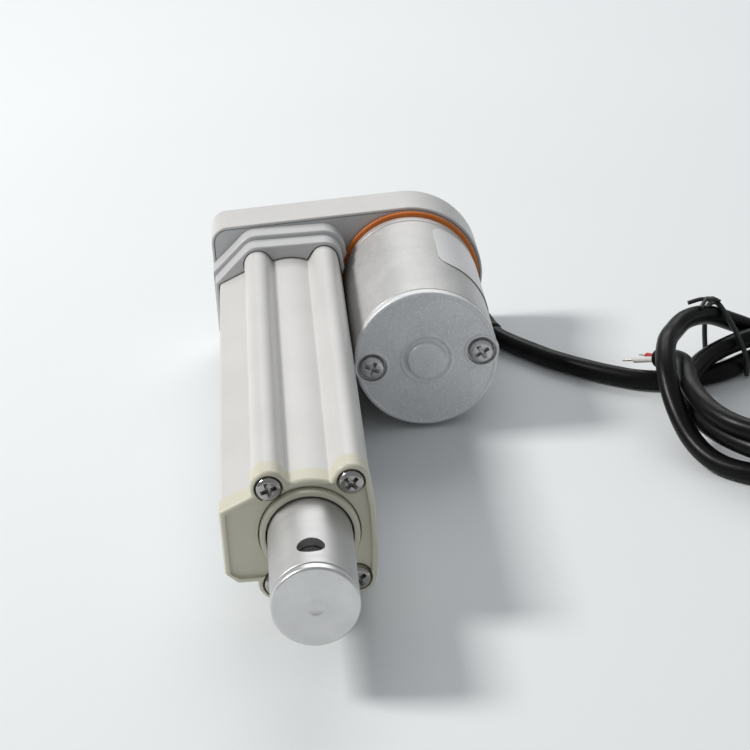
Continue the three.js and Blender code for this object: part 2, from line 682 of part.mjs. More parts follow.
function rearCover() {
  const { front, floor, edge, back } = COVER;
  const shell = union(casePrism(front, edge, 0), caseChamfer(edge, back, COVER.chamfer));
  const hollow = casePrism(front - 1, floor, -CASE.wall);
  const bosses = COVER_SCREWS.map(({ y, z }) =>
    along(disc(COVER_BOSS.r, COVER_BOSS.start, floor + GAP, ROUND.small), y, z));
  const bossesInside = union(...bosses).intersect(casePrism(front, floor + GAP, 0));
  const holes = [
    ...COVER_SCREWS.map(({ y, z }) => along(disc(COVER_BOSS.hole, front - 1, back + 1, ROUND.fine), y, z)),
    along(disc(IDLER_PIN.bore, floor - 1, IDLER_PIN.end + GAP, ROUND.fine), idlerY),
    upright(LUG.bore, LUG.at, 0, -LUG.half - 1, LUG.half + 1, ROUND.small),
    sideways(EXIT.wallHole, EXIT.station, EXIT.z, EXIT.from, EXIT.to, ROUND.medium),
  ];
  return node(
    "rear_cover",
    cut(union(cut(shell, hollow), bossesInside, rearLug()), ...holes),
    FINISH.castGrey,
  );
}

function rearBush() {
  const sleeve = upright(BUSH.outer, LUG.at, 0, -LUG.half, LUG.half);
  return node(
    "rear_bush",
    cut(sleeve, upright(BUSH.inner, LUG.at, 0, -LUG.half - 1, LUG.half + 1)),
    FINISH.bronze,
  );
}

function idlerPin() {
  return node(
    "idler_pin",
    along(disc(IDLER_PIN.r, IDLER_PIN.start, IDLER_PIN.end, ROUND.fine), idlerY),
    FINISH.steel,
  );
}

// ---- motor ----

function screwPassages(r, from, to) {
  return motorScrewSpots.map(({ y, z }) => along(disc(r, from, to, ROUND.fine), y, z));
}

function motorCan() {
  const body = ring(MOTOR.inner, MOTOR.r, MOTOR.capBack + GAP, MOTOR.canBack);
  return node("motor_can", along(body, MOTOR.y), FINISH.motorGrey);
}

function motorEndCap() {
  const { face, capBack, r } = MOTOR;
  const outline = [
    [face - MOTOR_BOSS.height, 0],
    [face - MOTOR_BOSS.height, MOTOR_BOSS.r],
    [face - MOTOR_BOSS.ring, MOTOR_BOSS.r],
    [face - MOTOR_BOSS.ring, MOTOR_BOSS.ringR],
    [face, MOTOR_BOSS.ringR],
    [face, r - 0.9],
    [face + 0.7, r],
    [capBack, r],
    [capBack, 0],
  ];
  const counterbores = screwPassages(MOTOR_SCREW.ringR, face - 1, face + MOTOR_SCREW.ring);
  const bushWell = along(
    disc(MOTOR_BUSH.outer + GAP, face - MOTOR_BOSS.height + 0.9, capBack + 1, ROUND.small),
    MOTOR.y,
  );
  const body = cut(
    along(turned(outline), MOTOR.y),
    ...counterbores,
    ...screwPassages(MOTOR_PILOT.r, face - 1, capBack + 1),
    bushWell,
  );
  return node("motor_end_cap", body, FINISH.motorGrey);
}

function motorMountPlate() {
  const outline = [
    [MOTOR.canBack + GAP, 0],
    [MOTOR.canBack + GAP, MOTOR.r],
    [MOTOR.back, MOTOR.r],
    [MOTOR.back, NOSE.r],
    [NOSE.end, NOSE.r],
    [NOSE.end, 0],
  ];
  const well = along(disc(NOSE.bush, MOTOR.canBack - 1, NOSE.end + 1, ROUND.small), MOTOR.y);
  const body = cut(
    along(turned(outline), MOTOR.y),
    ...screwPassages(MOTOR_PILOT.r, MOTOR.canBack - 1, NOSE.end),
    well,
  );
  return node("motor_mount_plate", body, FINISH.motorGrey);
}

function motorBushes() {
  const front = ring(
    MOTOR_BUSH.inner,
    MOTOR_BUSH.outer,
    MOTOR.face - MOTOR_BOSS.height + 1.2,
    MOTOR.capBack - GAP,
    ROUND.small,
  );
  const rear = ring(MOTOR_BUSH.inner, MOTOR_BUSH.outer, MOTOR.canBack + GAP, NOSE.end, ROUND.small);
  return [
    node("motor_bush_front", along(front, MOTOR.y), FINISH.bronze),
    node("motor_bush_rear", along(rear, MOTOR.y), FINISH.bronze),
  ];
}

function motorShaft() {
  return node(
    "motor_shaft",
    along(disc(SHAFT.r, SHAFT.start, SHAFT.end, ROUND.small), MOTOR.y),
    FINISH.steel,
  );
}

function armatureCore() {
  const { r, start, end, poles, slotR, slotAt, slotHalf, bore } = ARMATURE;
  const slot = union(
    along(disc(slotR, start - 1, end + 1, ROUND.fine), slotAt),
    box(start - 1, end + 1, slotAt, r + 1, -slotHalf, slotHalf),
  );
  const slots = Array.from({ length: poles }, (_, i) => turnX(slot, (i * TAU) / poles));
  const body = cut(disc(r, start, end), disc(bore, start - 1, end + 1, ROUND.fine), ...slots);
  return node("armature_core", along(body, MOTOR.y), FINISH.steel);
}

function windings() {
  const { inner, outer, length, crown } = WINDING;
  const coil = (from, to, inward) => {
    const outline = [
      [from, inner + inward * crown],
      [from, outer - inward * crown],
      [from + crown, outer],
      [to - crown, outer],
      [to, outer - (1 - inward) * crown],
      [to, inner + (1 - inward) * crown],
      [to - crown, inner],
      [from + crown, inner],
    ];
    return along(turned(outline, ROUND.medium), MOTOR.y);
  };
  const { start, end } = ARMATURE;
  return [
    node("winding_front", coil(start - GAP - length + 0.6, start - GAP, 1), FINISH.copper),
    node("winding_rear", coil(end + GAP, end + GAP + length, 0), FINISH.copper),
  ];
}

function commutator() {
  const { r, start, end, bars, slit, depth } = COMMUTATOR;
  const slits = Array.from({ length: bars }, (_, i) =>
    turnX(box(start - 1, end + 1, r - depth, r + 1, -slit, slit), ((i + 0.5) * TAU) / bars),
  );
  const body = cut(ring(ARMATURE.bore, r, start, end, ROUND.medium), ...slits);
  return node("commutator", along(body, MOTOR.y), FINISH.copper);
}

function brushGear() {
  const { from, to, half, start, end, boxWall, boxFrom } = BRUSH;
  const wide = half + GAP + boxWall;
  const boxes = [0, Math.PI].map((angle) => turnX(cut(
    box(BRUSH_PLATE.end - 1, end + GAP + boxWall, boxFrom, to + GAP + boxWall, -wide, wide),
    box(start - GAP, end + GAP, boxFrom - 1, to + GAP, -half - GAP, half + GAP),
  ), angle + MOTOR_SCREW.tilt + TAU / 4));
  const plate = ring(BRUSH_PLATE.hole, BRUSH_PLATE.r, BRUSH_PLATE.start, BRUSH_PLATE.end);
  const passages = [0, Math.PI].map((angle) =>
    turnX(
      along(disc(BRUSH_PLATE.notch, BRUSH_PLATE.start - 1, BRUSH_PLATE.end + 1, ROUND.fine), MOTOR_SCREW.at),
      angle + MOTOR_SCREW.tilt,
    ),
  );
  const holder = cut(union(plate, ...boxes), ...passages);
  const brushes = [0, Math.PI].map((angle, i) => {
    const block = turnX(box(start, end, from, to, -half, half), angle + MOTOR_SCREW.tilt + TAU / 4);
    return node(`brush_${i + 1}`, along(block, MOTOR.y), FINISH.carbon);
  });
  return [node("brush_holder", along(holder, MOTOR.y), FINISH.blackPlastic), ...brushes];
}

// A curved plate about the motor's axis, between two angles.
function arcPlate(inner, outer, from, to, start, end, steps) {
  const at = (r, i) => {
    const angle = start + ((end - start) * i) / steps;
    return [r * Math.cos(angle), r * Math.sin(angle)];
  };
  const out = Array.from({ length: steps + 1 }, (_, i) => at(outer, i));
  const back = Array.from({ length: steps + 1 }, (_, i) => at(inner, steps - i));
  return along(prism([...out, ...back], from, to), MOTOR.y);
}

function magnets() {
  return [1, -1].map((up, i) => {
    const middle = (up * TAU) / 4 + MOTOR_SCREW.tilt;
    const body = arcPlate(
      MAGNET.inner,
      MAGNET.outer,
      MAGNET.start,
      MAGNET.end,
      middle - MAGNET.halfAngle,
      middle + MAGNET.halfAngle,
      14,
    );
    return node(`magnet_${i + 1}`, body, FINISH.ferrite);
  });
}

function motorGasket() {
  const body = ring(GASKET.inner, GASKET.outer, GASKET.front, GASKET.back);
  return node("motor_gasket", along(body, MOTOR.y), FINISH.orange);
}

function motorLabel() {
  const step = TAU / ROUND.large;
  const [first, last] = [-7, 8];
  const body = arcPlate(
    LABEL.inner,
    LABEL.outer,
    LABEL.start,
    LABEL.end,
    first * step,
    last * step,
    last - first,
  );
  return node("motor_label", body, FINISH.paper);
}

// ---- limit switches ----

function switchStriker() {
  const { start, end, from, to, half, ramp } = STRIKER;
  const outline = [
    [start, -from],
    [start, -to + ramp],
    [start + ramp, -to],
    [end - ramp, -to],
    [end, -to + ramp],
    [end, -from],
  ];
  return node("switch_striker", slab(outline, -half, half), FINISH.acetal);
}

function switchBoard() {
  const body = box(BOARD.start, BOARD.end, -BOARD.to, -BOARD.from, -BOARD.bottom, BOARD.top);
  return node("switch_board", body, FINISH.boardGreen);
}

function limitSwitch(which, station) {
  const { half, from, to, bottom, top, well, wellFloor, y } = SWITCH;
  const body = cut(
    box(station - half, station + half, -to, -from, -bottom, -top),
    upright(well, station, -y, -wellFloor, -top + 1, ROUND.fine),
  );
  const pin = upright(PLUNGER.r, station, -y, -PLUNGER.foot, -PLUNGER.top, ROUND.fine);
  return [
    node(`limit_switch_${which}`, body, FINISH.blackPlastic),
    node(`switch_plunger_${which}`, pin, FINISH.orange),
  ];
}

function diodes() {
  return [0, 1].map((i) => {
    const from = DIODE.first + i * DIODE.pitch;
    const body = disc(DIODE.r, from, from + DIODE.length, ROUND.fine);
    return node(`steering_diode_${i + 1}`, along(body, -DIODE.y, DIODE.z), FINISH.carbon);
  });
}

// ---- cable ----

function wayThrough(points) {
  const places = points.map(([station, y, z]) => new THREE.Vector3(-station, y, z));
  return new THREE.CatmullRomCurve3(places, false, "centripetal");
}

function tubeAlong(curve, r, sides, steps) {
  const round = Array.from({ length: sides }, (_, i) => {
    const angle = (i * TAU) / sides;
    return new THREE.Vector2(r * Math.cos(angle), r * Math.sin(angle));
  });
  return solid(
    new THREE.ExtrudeGeometry(new THREE.Shape(round), { steps, extrudePath: curve, bevelEnabled: false }),
  );
}

// The moulded elbow that the cable leaves by, out of the gearbox's side and round towards the rod.
function grommet() {
  const way = wayThrough([
    [EXIT.station, 45.5, EXIT.z],
    [EXIT.station, 52.4, EXIT.z],
    [192.4, 55.4, EXIT.z - 0.2],
    [188.6, 57.3, EXIT.z - 0.5],
    [184.2, 58.2, EXIT.z - 0.8],
    [180, 59.4, EXIT.z - 0.9],
  ]);
  return node("cable_grommet", tubeAlong(way, BOOT.r, BOOT.sides, BOOT.steps), FINISH.blackRubber);
}

// The cable's way from its elbow to the coil, as stations, y and z.
function leadPath() {
  const onFloor = FLOOR + CORD.r + 0.1;
  return wayThrough([
    [178.9, 59.9, EXIT.z - 1],
    [175.8, 61.6, EXIT.z - 1.2],
    [171, 65, onFloor],
    [165.3, 69.2, onFloor],
    [159.7, 73.5, onFloor],
    [155.1, 77.8, onFloor],
    [151, 82.2, onFloor],
    [147.1, 86.6, onFloor],
    [143.8, 91, onFloor],
    [140.9, 95.4, onFloor],
    [139, 100.4, onFloor],
  ]);
}

function cordLead() {
  return node("cord_lead", tubeAlong(leadPath(), CORD.r, CORD.sides, CORD.steps), FINISH.blackRubber);
}

function cordCoil() {
  const { inner, outer, height, chamfer } = COIL;
  const points = [
    [inner, 0],
    [outer, 0],
    [outer, height - chamfer],
    [outer - chamfer, height],
    [inner + chamfer, height],
    [inner, height - chamfer],
    [inner, 0],
  ].map(([r, z]) => new THREE.Vector2(r, z));
  const geometry = new THREE.LatheGeometry(points, ROUND.medium);
  geometry.rotateX(Math.PI / 2);
  geometry.translate(-COIL.station, COIL.y, FLOOR);
  return node("cord_coil", solid(geometry), FINISH.blackRubber);
}

// A strap over the coil: up one side, across the top and down the other.
function cordTie() {
  const { inner, outer, height } = COIL;
  const half = TIE.width / 2;
  const slack = 0.5;
  const strap = (grow, drop) => {
    const geometry = new THREE.BoxGeometry(
      outer - inner + 2 * grow,
      TIE.width + 2 * drop,
      height + grow + drop,
    );
    geometry.translate((inner + outer) / 2, 0, (height + grow - drop) / 2);
    return solid(geometry);
  };
  const turn = (TIE.angle * 360) / TAU;
  const body = cut(strap(slack + TIE.wall, 0), strap(slack, half)).rotate([0, 0, turn]);
  return node("cord_tie", body.translate([-COIL.station, COIL.y, FLOOR]), FINISH.blackPlastic);
}

// The two stripped cores that end the cable, just outside the coil and over the cable's own lead.
function coreEnds() {
  return [-1, 1].map((side, i) => {
    const geometry = new THREE.CylinderGeometry(CORE_END.r, CORE_END.r, CORE_END.length, ROUND.fine);
    geometry.rotateZ(-Math.PI / 2);
    geometry.translate(CORE_END.length / 2, side * CORE_END.apart, CORE_END.height);
    geometry.rotateZ(CORE_END.angle + side * CORE_END.spread);
    geometry.translate(-CORE_END.station, CORE_END.y, FLOOR);
    return node(`core_end_${i + 1}`, solid(geometry), i ? FINISH.acetal : FINISH.copper);
  });
}

const actuator = new THREE.Group();
actuator.name = "linear_actuator";
actuator.add(
  pushRod(),
  rodEndPlug(),
  driveNut(),
  leadScrew(),
  ...bearing(),
  outerTube(),
  frontCap(),
  rodWiper(),
  rodSeal(),
  ...capScrews(),
  gearboxHousing(),
  rearCover(),
  rearBush(),
  ...coverScrews(),
  outputGear(),
  idlerGear(),
  idlerPin(),
  motorPinion(),
  motorCan(),
  motorEndCap(),
  motorMountPlate(),
  ...motorBushes(),
  motorShaft(),
  armatureCore(),
  ...windings(),
  commutator(),
  ...brushGear(),
  ...magnets(),
  motorGasket(),
  motorLabel(),
  ...motorScrews(),
  switchStriker(),
  switchBoard(),
  ...limitSwitch("front", STRIKER.start + (STRIKER.end - STRIKER.start) / 2 - STROKE),
  ...limitSwitch("rear", STRIKER.start + (STRIKER.end - STRIKER.start) / 2),
  ...diodes(),
  grommet(),
  cordLead(),
  cordCoil(),
  cordTie(),
  ...coreEnds(),
);

export default actuator;
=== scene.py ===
"""A small linear actuator with its motor beside its rod, lying on a pale floor."""

import math

import bmesh
import bpy
from mathutils import Matrix, Vector


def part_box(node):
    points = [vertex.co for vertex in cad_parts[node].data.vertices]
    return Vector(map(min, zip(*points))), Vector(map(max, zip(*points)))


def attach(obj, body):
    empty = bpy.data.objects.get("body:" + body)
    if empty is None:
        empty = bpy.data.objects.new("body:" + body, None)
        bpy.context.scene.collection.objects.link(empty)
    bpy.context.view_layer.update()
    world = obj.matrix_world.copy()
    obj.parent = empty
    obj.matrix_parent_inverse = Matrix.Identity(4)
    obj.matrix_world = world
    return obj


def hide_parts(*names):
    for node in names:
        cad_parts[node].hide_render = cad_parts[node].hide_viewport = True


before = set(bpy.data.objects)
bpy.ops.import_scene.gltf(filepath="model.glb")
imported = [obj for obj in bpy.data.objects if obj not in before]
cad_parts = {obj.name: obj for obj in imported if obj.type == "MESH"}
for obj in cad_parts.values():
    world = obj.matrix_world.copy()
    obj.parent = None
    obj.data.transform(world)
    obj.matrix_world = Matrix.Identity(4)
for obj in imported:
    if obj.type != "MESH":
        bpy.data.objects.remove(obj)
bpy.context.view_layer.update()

MM = 0.001
TAU = 2 * math.pi
SCENE = bpy.context.scene

plug_low, plug_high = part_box("rod_end_plug")
# The centre of the rod's end face: stations are distances behind it, y and z are taken from it.
TIP = Vector(
    (
        plug_high[0],
        (plug_low[1] + plug_high[1]) / 2,
        (plug_low[2] + plug_high[2]) / 2,
    )
)
FLOOR = -TIP.z / MM
GAP = 0.3

# Sizes in millimetres, as stations, radii and distances from the rod's axis.
RIM_STEPS = 5
FULL_ROUND = 128
SMALL_ROUND = 64
OUTLINE_POINTS = 720


class Rod:
    r = 10
    bore = 8
    flange = 2.2
    plug_end = 22
    end = 158
    hole_at = 10.4
    hole = 3.2
    dimple = 2.2


class Section:
    body = 13.9
    bore = 11.5
    rib = 4
    rib_y = 9.6
    rib_z = 12.7
    rib_shift = 0.9
    edge = 14.6
    middle = 15.4
    shoulder = 5.5


class Chamber:
    outer = 20.3
    top = 10.6
    shoulder = 13
    corner = 7.3
    low = 9
    foot = 17.6
    bottom = 11.4
    hollow_outer = 19.1
    hollow_inner = 13.2
    hollow_top = 6.4
    hollow_bottom = 9
    slot_half = 2.75
    slot_from = 10.5
    slot_to = 14


class Tube:
    start = 39.7
    end = 184.5
    pilot = 1.9
    pilot_depth = 16


class Cap:
    front = 33.2
    back = 39.4
    grow = 0.4
    rim = 1.2
    recess = 0.9
    spigot = 11.2
    spigot_end = 50
    bore = 10.3
    wiper = 12.1
    wiper_end = 36.4
    seal_start = 36.8
    seal_end = 38.8
    seat = 34.5
    pocket = 3.4


class Wiper:
    front = 32.25
    end = 36.1
    lip = 33.6
    lead_in = 0.12
    r = 11.8


class Case:
    corner_y = -17
    top = 15.3
    low = -16.3
    corner = 5
    motor = 22
    wall = 2
    front = 186.3
    floor = 199.5
    edge = 200
    back = 202
    plate_back = 189.8
    lip = 0.9
    lip_in = 0.95
    lip_room = 1.1
    lip_room_in = 0.75
    edge_round = 1.6
    pin_hole = 1.8
    screw_hole = 1.9
    screw_from = 187.3
    boss = 3
    boss_from = 190.1


class Socket:
    front = 174
    step = 180
    grow_front = 1.3
    grow_back = 2.6
    floor = 184.8


class Lug:
    taper = 2.4
    at = 215.4
    r = 9
    half = 10
    web = 6
    flare = 15
    flare_end = 207
    bore = 4.5
    bush_outer = 4.2
    bush_inner = 3.2


class Motor:
    y = 35.6
    r = 19.7
    inner = 18.3
    face = 125.8
    cap_back = 128.4
    can_back = 181.2
    back = 184.5
    boss_ring = 6.9
    boss = 5.3
    boss_height = 1.7
    screw_at = 15.15
    screw_tilt = math.radians(4.5)
    nose = 6
    nose_end = 188.4
    pilot = 1.7
    pilot_end = 188.8
    well = 4.2
    gasket_front = 184.8
    gasket_back = 186
    gasket_inner = 17.4
    gasket_outer = 20.9


class Cable:
    r = 2.75
    station = 194
    z = -17
    hole = 3.5
    wall_from = 43.5
    wall_to = 54
    boot = 3.2
    boot_lip = 0.35
    groove = 0.38
    groove_turn = 0.9
    first_groove = 44
    last_groove = 68
    coil_station = 112
    coil_y = 146
    rest = FLOOR + 2.75 + 0.1


COVER_SCREWS = ((-16.2, 14.4), (-16.2, -14.4), (33, 16.4), (33, -16.4))
RIBS = [
    (Section.rib_shift + side * Section.rib_y, up * Section.rib_z)
    for up in (1, -1)
    for side in (-1, 1)
]
MOTOR_SCREWS = [
    (
        Motor.y + side * Motor.screw_at * math.cos(Motor.screw_tilt),
        side * Motor.screw_at * math.sin(Motor.screw_tilt),
    )
    for side in (1, -1)
]


def at(station, y, z):
    return TIP + Vector((-station, y, z)) * MM


# ---- camera ----


def make_camera():
    data = bpy.data.cameras.new("camera")
    data.sensor_width = 36
    data.lens = 102.09
    data.clip_start = 0.02
    data.clip_end = 20
    camera = bpy.data.objects.new("camera", data)
    right = Vector((0.06659147, 0.99586868, -0.06173445))
    down = Vector((0.41514412, -0.08391557, -0.90587722))
    ahead = Vector((-0.90731523, 0.03469501, -0.41901709))
    turn = Matrix((right, -down, -ahead)).transposed().to_4x4()
    away = Vector((402.055, 0.992, 240.335)) * MM
    camera.matrix_world = Matrix.Translation(TIP + away) @ turn
    SCENE.collection.objects.link(camera)
    SCENE.camera = camera


make_camera()


# ---- the cord's way ----


def smooth_path(points, per_span):
    """A rounded line through the points, per_span steps from each to the next."""
    ends = [points[0] * 2 - points[1], *points, points[-1] * 2 - points[-2]]
    path = []
    for a, b, c, d in zip(ends, ends[1:], ends[2:], ends[3:]):
        for k in range(per_span):
            t = k / per_span
            bend = (c - a) * t
            bend += (2 * a - 5 * b + 4 * c - d) * t * t
            bend += (3 * b - 3 * c + d - a) * t**3
            path.append(b + bend / 2)
    return [*path, points[-1]]


LEAD = (
    (178.9, 59.9, -18.0),
    (175.8, 61.6, -18.2),
    (171.0, 65.0, Cable.rest),
    (165.3, 69.2, Cable.rest),
    (159.7, 73.5, Cable.rest),
    (155.1, 77.8, Cable.rest),
    (151.0, 82.2, Cable.rest),
    (147.1, 86.6, Cable.rest),
    (143.8, 91.0, Cable.rest),
    (140.9, 95.4, Cable.rest),
    (139.0, 100.4, Cable.rest),
    (138.1, 105.9, Cable.rest),
    (138.3, 111.7, Cable.rest),
    (139.7, 117.3, Cable.rest),
)
# The coil's turns: degrees round its middle, radius, and height above a turn on the floor.
TURNS = (
    (-142, 38.2, 0),
    (-190, 40.6, 0),
    (-330, 41.2, 0),
    (-385, 44.6, 0),
    (-415, 46.8, 0),
    (-468, 46.5, 16.8),
    (-490, 46.3, 16.8),
    (-543, 46.8, 0),
    (-660, 46.9, 0),
    (-700, 46.9, 5.2),
    (-745, 44.2, 5.9),
    (-790, 41.0, 5.0),
    (-835, 40.6, 5.7),
    (-865, 40.6, 5.7),
    (-893, 41.2, 5.6),
    (-930, 43.8, 5.0),
    (-1008, 44.0, 4.9),
    (-1045, 44.0, 10.7),
    (-1085, 43.4, 10.8),
    (-1130, 42.6, 10.4),
    (-1165, 40.9, 10.9),
)
TAIL = (
    (108.4, 105.3, Cable.rest + 10.9),
    (114.0, 105.3, Cable.rest + 11.0),
    (119.4, 105.9, Cable.rest + 11.1),
    (124.9, 106.4, Cable.rest + 10.6),
    (130.2, 106.0, Cable.rest + 9.5),
    (135.2, 104.6, Cable.rest + 7.9),
    (139.8, 102.2, Cable.rest + 6.2),
)


def coil_points():
    points = []
    for (a0, r0, h0), (a1, r1, h1) in zip(TURNS, TURNS[1:]):
        count = max(1, round((a0 - a1) / 13))
        for k in range(count):
            t = k / count
            ease = t * t * (3 - 2 * t)
            angle = math.radians(a0 + (a1 - a0) * t)
            r = r0 + (r1 - r0) * ease
            station = Cable.coil_station - r * math.cos(angle)
            y = Cable.coil_y + r * math.sin(angle)
            points.append((station, y, Cable.rest + h0 + (h1 - h0) * ease))
    return points


def cord_route():
    points = [at(*p) for p in (*LEAD, *coil_points(), *TAIL)]
    return smooth_path(points, 6)


CORD_PATH = cord_route()


def make_cord():
    data = bpy.data.curves.new("power_cord", "CURVE")
    data.dimensions = "3D"
    data.bevel_depth = Cable.r * MM
    data.bevel_resolution = 8
    data.use_fill_caps = True
    spline = data.splines.new("POLY")
    spline.points.add(len(CORD_PATH) - 1)
    for point, place in zip(spline.points, CORD_PATH):
        point.co = (*place, 1)
    spline.use_smooth = True
    cord = bpy.data.objects.new("power_cord", data)
    SCENE.collection.objects.link(cord)
    return cord


power_cord = make_cord()


# ---- solids ----


def body_of_faces(name, vertices, faces):
    mesh = bpy.data.meshes.new(name)
    mesh.from_pydata([at(*v) for v in vertices], [], faces)
    shell = bmesh.new()
    shell.from_mesh(mesh)
    bmesh.ops.recalc_face_normals(shell, faces=shell.faces)
    shell.to_mesh(mesh)
    shell.free()
    body = bpy.data.objects.new(name, mesh)
    SCENE.collection.objects.link(body)
    return body


def lofted(name, sections):
    """A closed body through outlines of equal length, each given as (station, points)."""
    count = len(sections[0][1])
    vertices = [(station, y, z) for station, outline in sections for y, z in outline]
    faces = []
    for k in range(len(sections) - 1):
        here, there = k * count, (k + 1) * count
        for i in range(count):
            j = (i + 1) % count
            faces.append((here + i, here + j, there + j, there + i))
    faces.append(tuple(range(count)))
    faces.append(tuple(range(len(vertices) - count, len(vertices))))
    return body_of_faces(name, vertices, faces)


def eased(profile, steps=RIM_STEPS):
    """The profile with each corner that gives a third number rounded by that much."""
    points = []
    for i, corner in enumerate(profile):
        here = Vector(corner[:2])
        if len(corner) < 3:
            points.append(here)
            continue
        before = Vector(profile[i - 1][:2])
        after = Vector(profile[(i + 1) % len(profile)][:2])
        reach_back = min(corner[2], (before - here).length * 0.49)
        reach_on = min(corner[2], (after - here).length * 0.49)
        start = here + (before - here).normalized() * reach_back
        stop = here + (after - here).normalized() * reach_on
        for k in range(steps + 1):
            t = k / steps
            points.append(start * (1 - t) ** 2 + here * 2 * t * (1 - t) + stop * t * t)
    return points


AXES = {
    "x": lambda c, a, u, v: (a, c[0] + u, c[1] + v),
    "y": lambda c, a, u, v: (c[0] + u, a, c[1] + v),
    "z": lambda c, a, u, v: (c[0] + u, c[1] + v, a),
}


def turned(name, profile, centre=(0, 0), axis="x", segments=FULL_ROUND):
    """A body turned about an axis; the profile is distances along it and radii, and closes."""
    place = AXES[axis]
    vertices, loops = [], []
    for along, r in eased(profile):
        count = segments if r > 1e-6 else 1
        loops.append(range(len(vertices), len(vertices) + count))
        for i in range(count):
            angle = i * TAU / segments
            vertices.append(
                place(centre, along, r * math.cos(angle), r * math.sin(angle))
            )
    faces = []
    for a, b in zip(loops, [*loops[1:], loops[0]]):
        for i in range(segments):
            j = (i + 1) % segments
            if len(a) > 1 and len(b) > 1:
                faces.append((a[i], a[j], b[j], b[i]))
            elif len(a) > 1:
                faces.append((a[i], a[j], b[0]))
            elif len(b) > 1:
                faces.append((a[0], b[j], b[i]))
    return body_of_faces(name, vertices, faces)


def disc(r, start, stop, centre=(0, 0), axis="x", segments=SMALL_ROUND):
    return turned(
        "disc", [(start, 0), (start, r), (stop, r), (stop, 0)], centre, axis, segments
    )


def ring(name, inner, outer, start, stop, centre=(0, 0), soft=0.2):
    profile = [
        (start, inner, soft),
        (start, outer, soft),
        (stop, outer, soft),
        (stop, inner, soft),
    ]
    return turned(name, profile, centre)


def block(start, stop, y0, y1, z0, z1):
    outline = [(y0, z0), (y1, z0), (y1, z1), (y0, z1)]
    return lofted("block", [(start, outline), (stop, outline)])


def shaped(body, operation, *tools):
    """The body with the tools cut away, added or kept in common; the tools are used up."""
    for tool in tools:
        step = body.modifiers.new("shape", "BOOLEAN")
        step.operation = operation
        step.solver = "MANIFOLD"
        step.object = tool
    graph = bpy.context.evaluated_depsgraph_get()
    made = bpy.data.meshes.new_from_object(body.evaluated_get(graph))
    body.modifiers.clear()
    body.data = made
    for tool in tools:
        bpy.data.objects.remove(tool)
    return body


def cut(body, *tools):
    return shaped(body, "DIFFERENCE", *tools)


def added(body, *tools):
    return shaped(body, "UNION", *tools)


def common(body, *tools):
    return shaped(body, "INTERSECT", *tools)


def polished_edges(body, width=0.0, sharp=35, steps=2):
    """Rounds the body's sharp edges by width and shades it smooth between them."""
    mesh = body.data
    mesh.polygons.foreach_set("use_smooth", [True] * len(mesh.polygons))
    if width:
        edge = body.modifiers.new("edges", "BEVEL")
        edge.width = width * MM
        edge.segments = steps
        edge.limit_method = "ANGLE"
        edge.angle_limit = math.radians(sharp)
        edge.miter_outer = "MITER_ARC"
    else:
        mesh.set_sharp_from_angle(angle=math.radians(sharp))
    level = body.modifiers.new("level", "WEIGHTED_NORMAL")
    level.keep_sharp = True
    return body


# ---- outlines ----


def circle_reach(dy, dz, y, z, r):
    along = dy * y + dz * z
    inside = along * along - (y * y + z * z - r * r)
    return along + math.sqrt(inside) if inside > 0 else 0


def polygon_reach(dy, dz, corners):
    """How far a ray from the axis runs before it leaves a convex polygon."""
    near, far = 0.0, math.inf
    for (y0, z0), (y1, z1) in zip(corners, [*corners[1:], corners[0]]):
        out_y, out_z = z1 - z0, y0 - y1
        speed = dy * out_y + dz * out_z
        room = y0 * out_y + z0 * out_z
        if abs(speed) < 1e-9:
            if room < 0:
                return 0
        elif speed > 0:
            far = min(far, room / speed)
        else:
            near = max(near, room / speed)
    return far if far > near else 0


def tube_outline(grow):
    """The tube's outline moved out by grow, with its corners slightly rounded."""
    s, c = Section, Chamber
    bow = [
        (0, -s.rib_z),
        (s.edge + grow, -s.rib_z),
        (s.middle + grow, -s.shoulder),
        (s.middle + grow, s.shoulder),
        (s.edge + grow, s.rib_z),
        (0, s.rib_z),
    ]
    chamber = [
        (-c.outer - grow, -c.low),
        (-c.foot - grow * 0.5, -c.bottom - grow),
        (-s.rib_y, -c.bottom - grow),
        (-s.rib_y, c.top + grow),
        (-c.shoulder, c.top + grow),
        (-c.outer - grow, c.corner + grow * 0.5),
    ]
    reaches = []
    for i in range(OUTLINE_POINTS):
        angle = i * TAU / OUTLINE_POINTS
        dy, dz = math.cos(angle), math.sin(angle)
        reach = [s.body + grow]
        reach += [circle_reach(dy, dz, y, z, s.rib + grow) for y, z in RIBS]
        reach += [polygon_reach(dy, dz, bow), polygon_reach(dy, dz, chamber)]
        reaches.append(max(reach))
    for _ in range(4):
        reaches = [
            (reaches[i - 1] + 2 * reaches[i] + reaches[(i + 1) % OUTLINE_POINTS]) / 4
            for i in range(OUTLINE_POINTS)
        ]
    return [
        (r * math.cos(i * TAU / OUTLINE_POINTS), r * math.sin(i * TAU / OUTLINE_POINTS))
        for i, r in enumerate(reaches)
    ]


def outer_hull(points):
    """The points of the convex outline round the others, in order."""

    def half(ordered):
        kept = []
        for p in ordered:
            while len(kept) > 1:
                a, b = kept[-2], kept[-1]
                turn = (b[0] - a[0]) * (p[1] - a[1]) - (b[1] - a[1]) * (p[0] - a[0])
                if turn > 1e-9:
                    break
                kept.pop()
            kept.append(p)
        return kept[:-1]

    ordered = sorted(points)
    return [*half(ordered), *half(ordered[::-1])]


def collar_outline(grow):
    """The tube's outline moved out by grow, with the hollows between its ribs bridged."""
    hull = [p[:2] for p in outer_hull(tube_outline(grow)[::3])]
    points = []
    for i in range(OUTLINE_POINTS):
        angle = i * TAU / OUTLINE_POINTS
        r = polygon_reach(math.cos(angle), math.sin(angle), hull)
        points.append((r * math.cos(angle), r * math.sin(angle)))
    return points


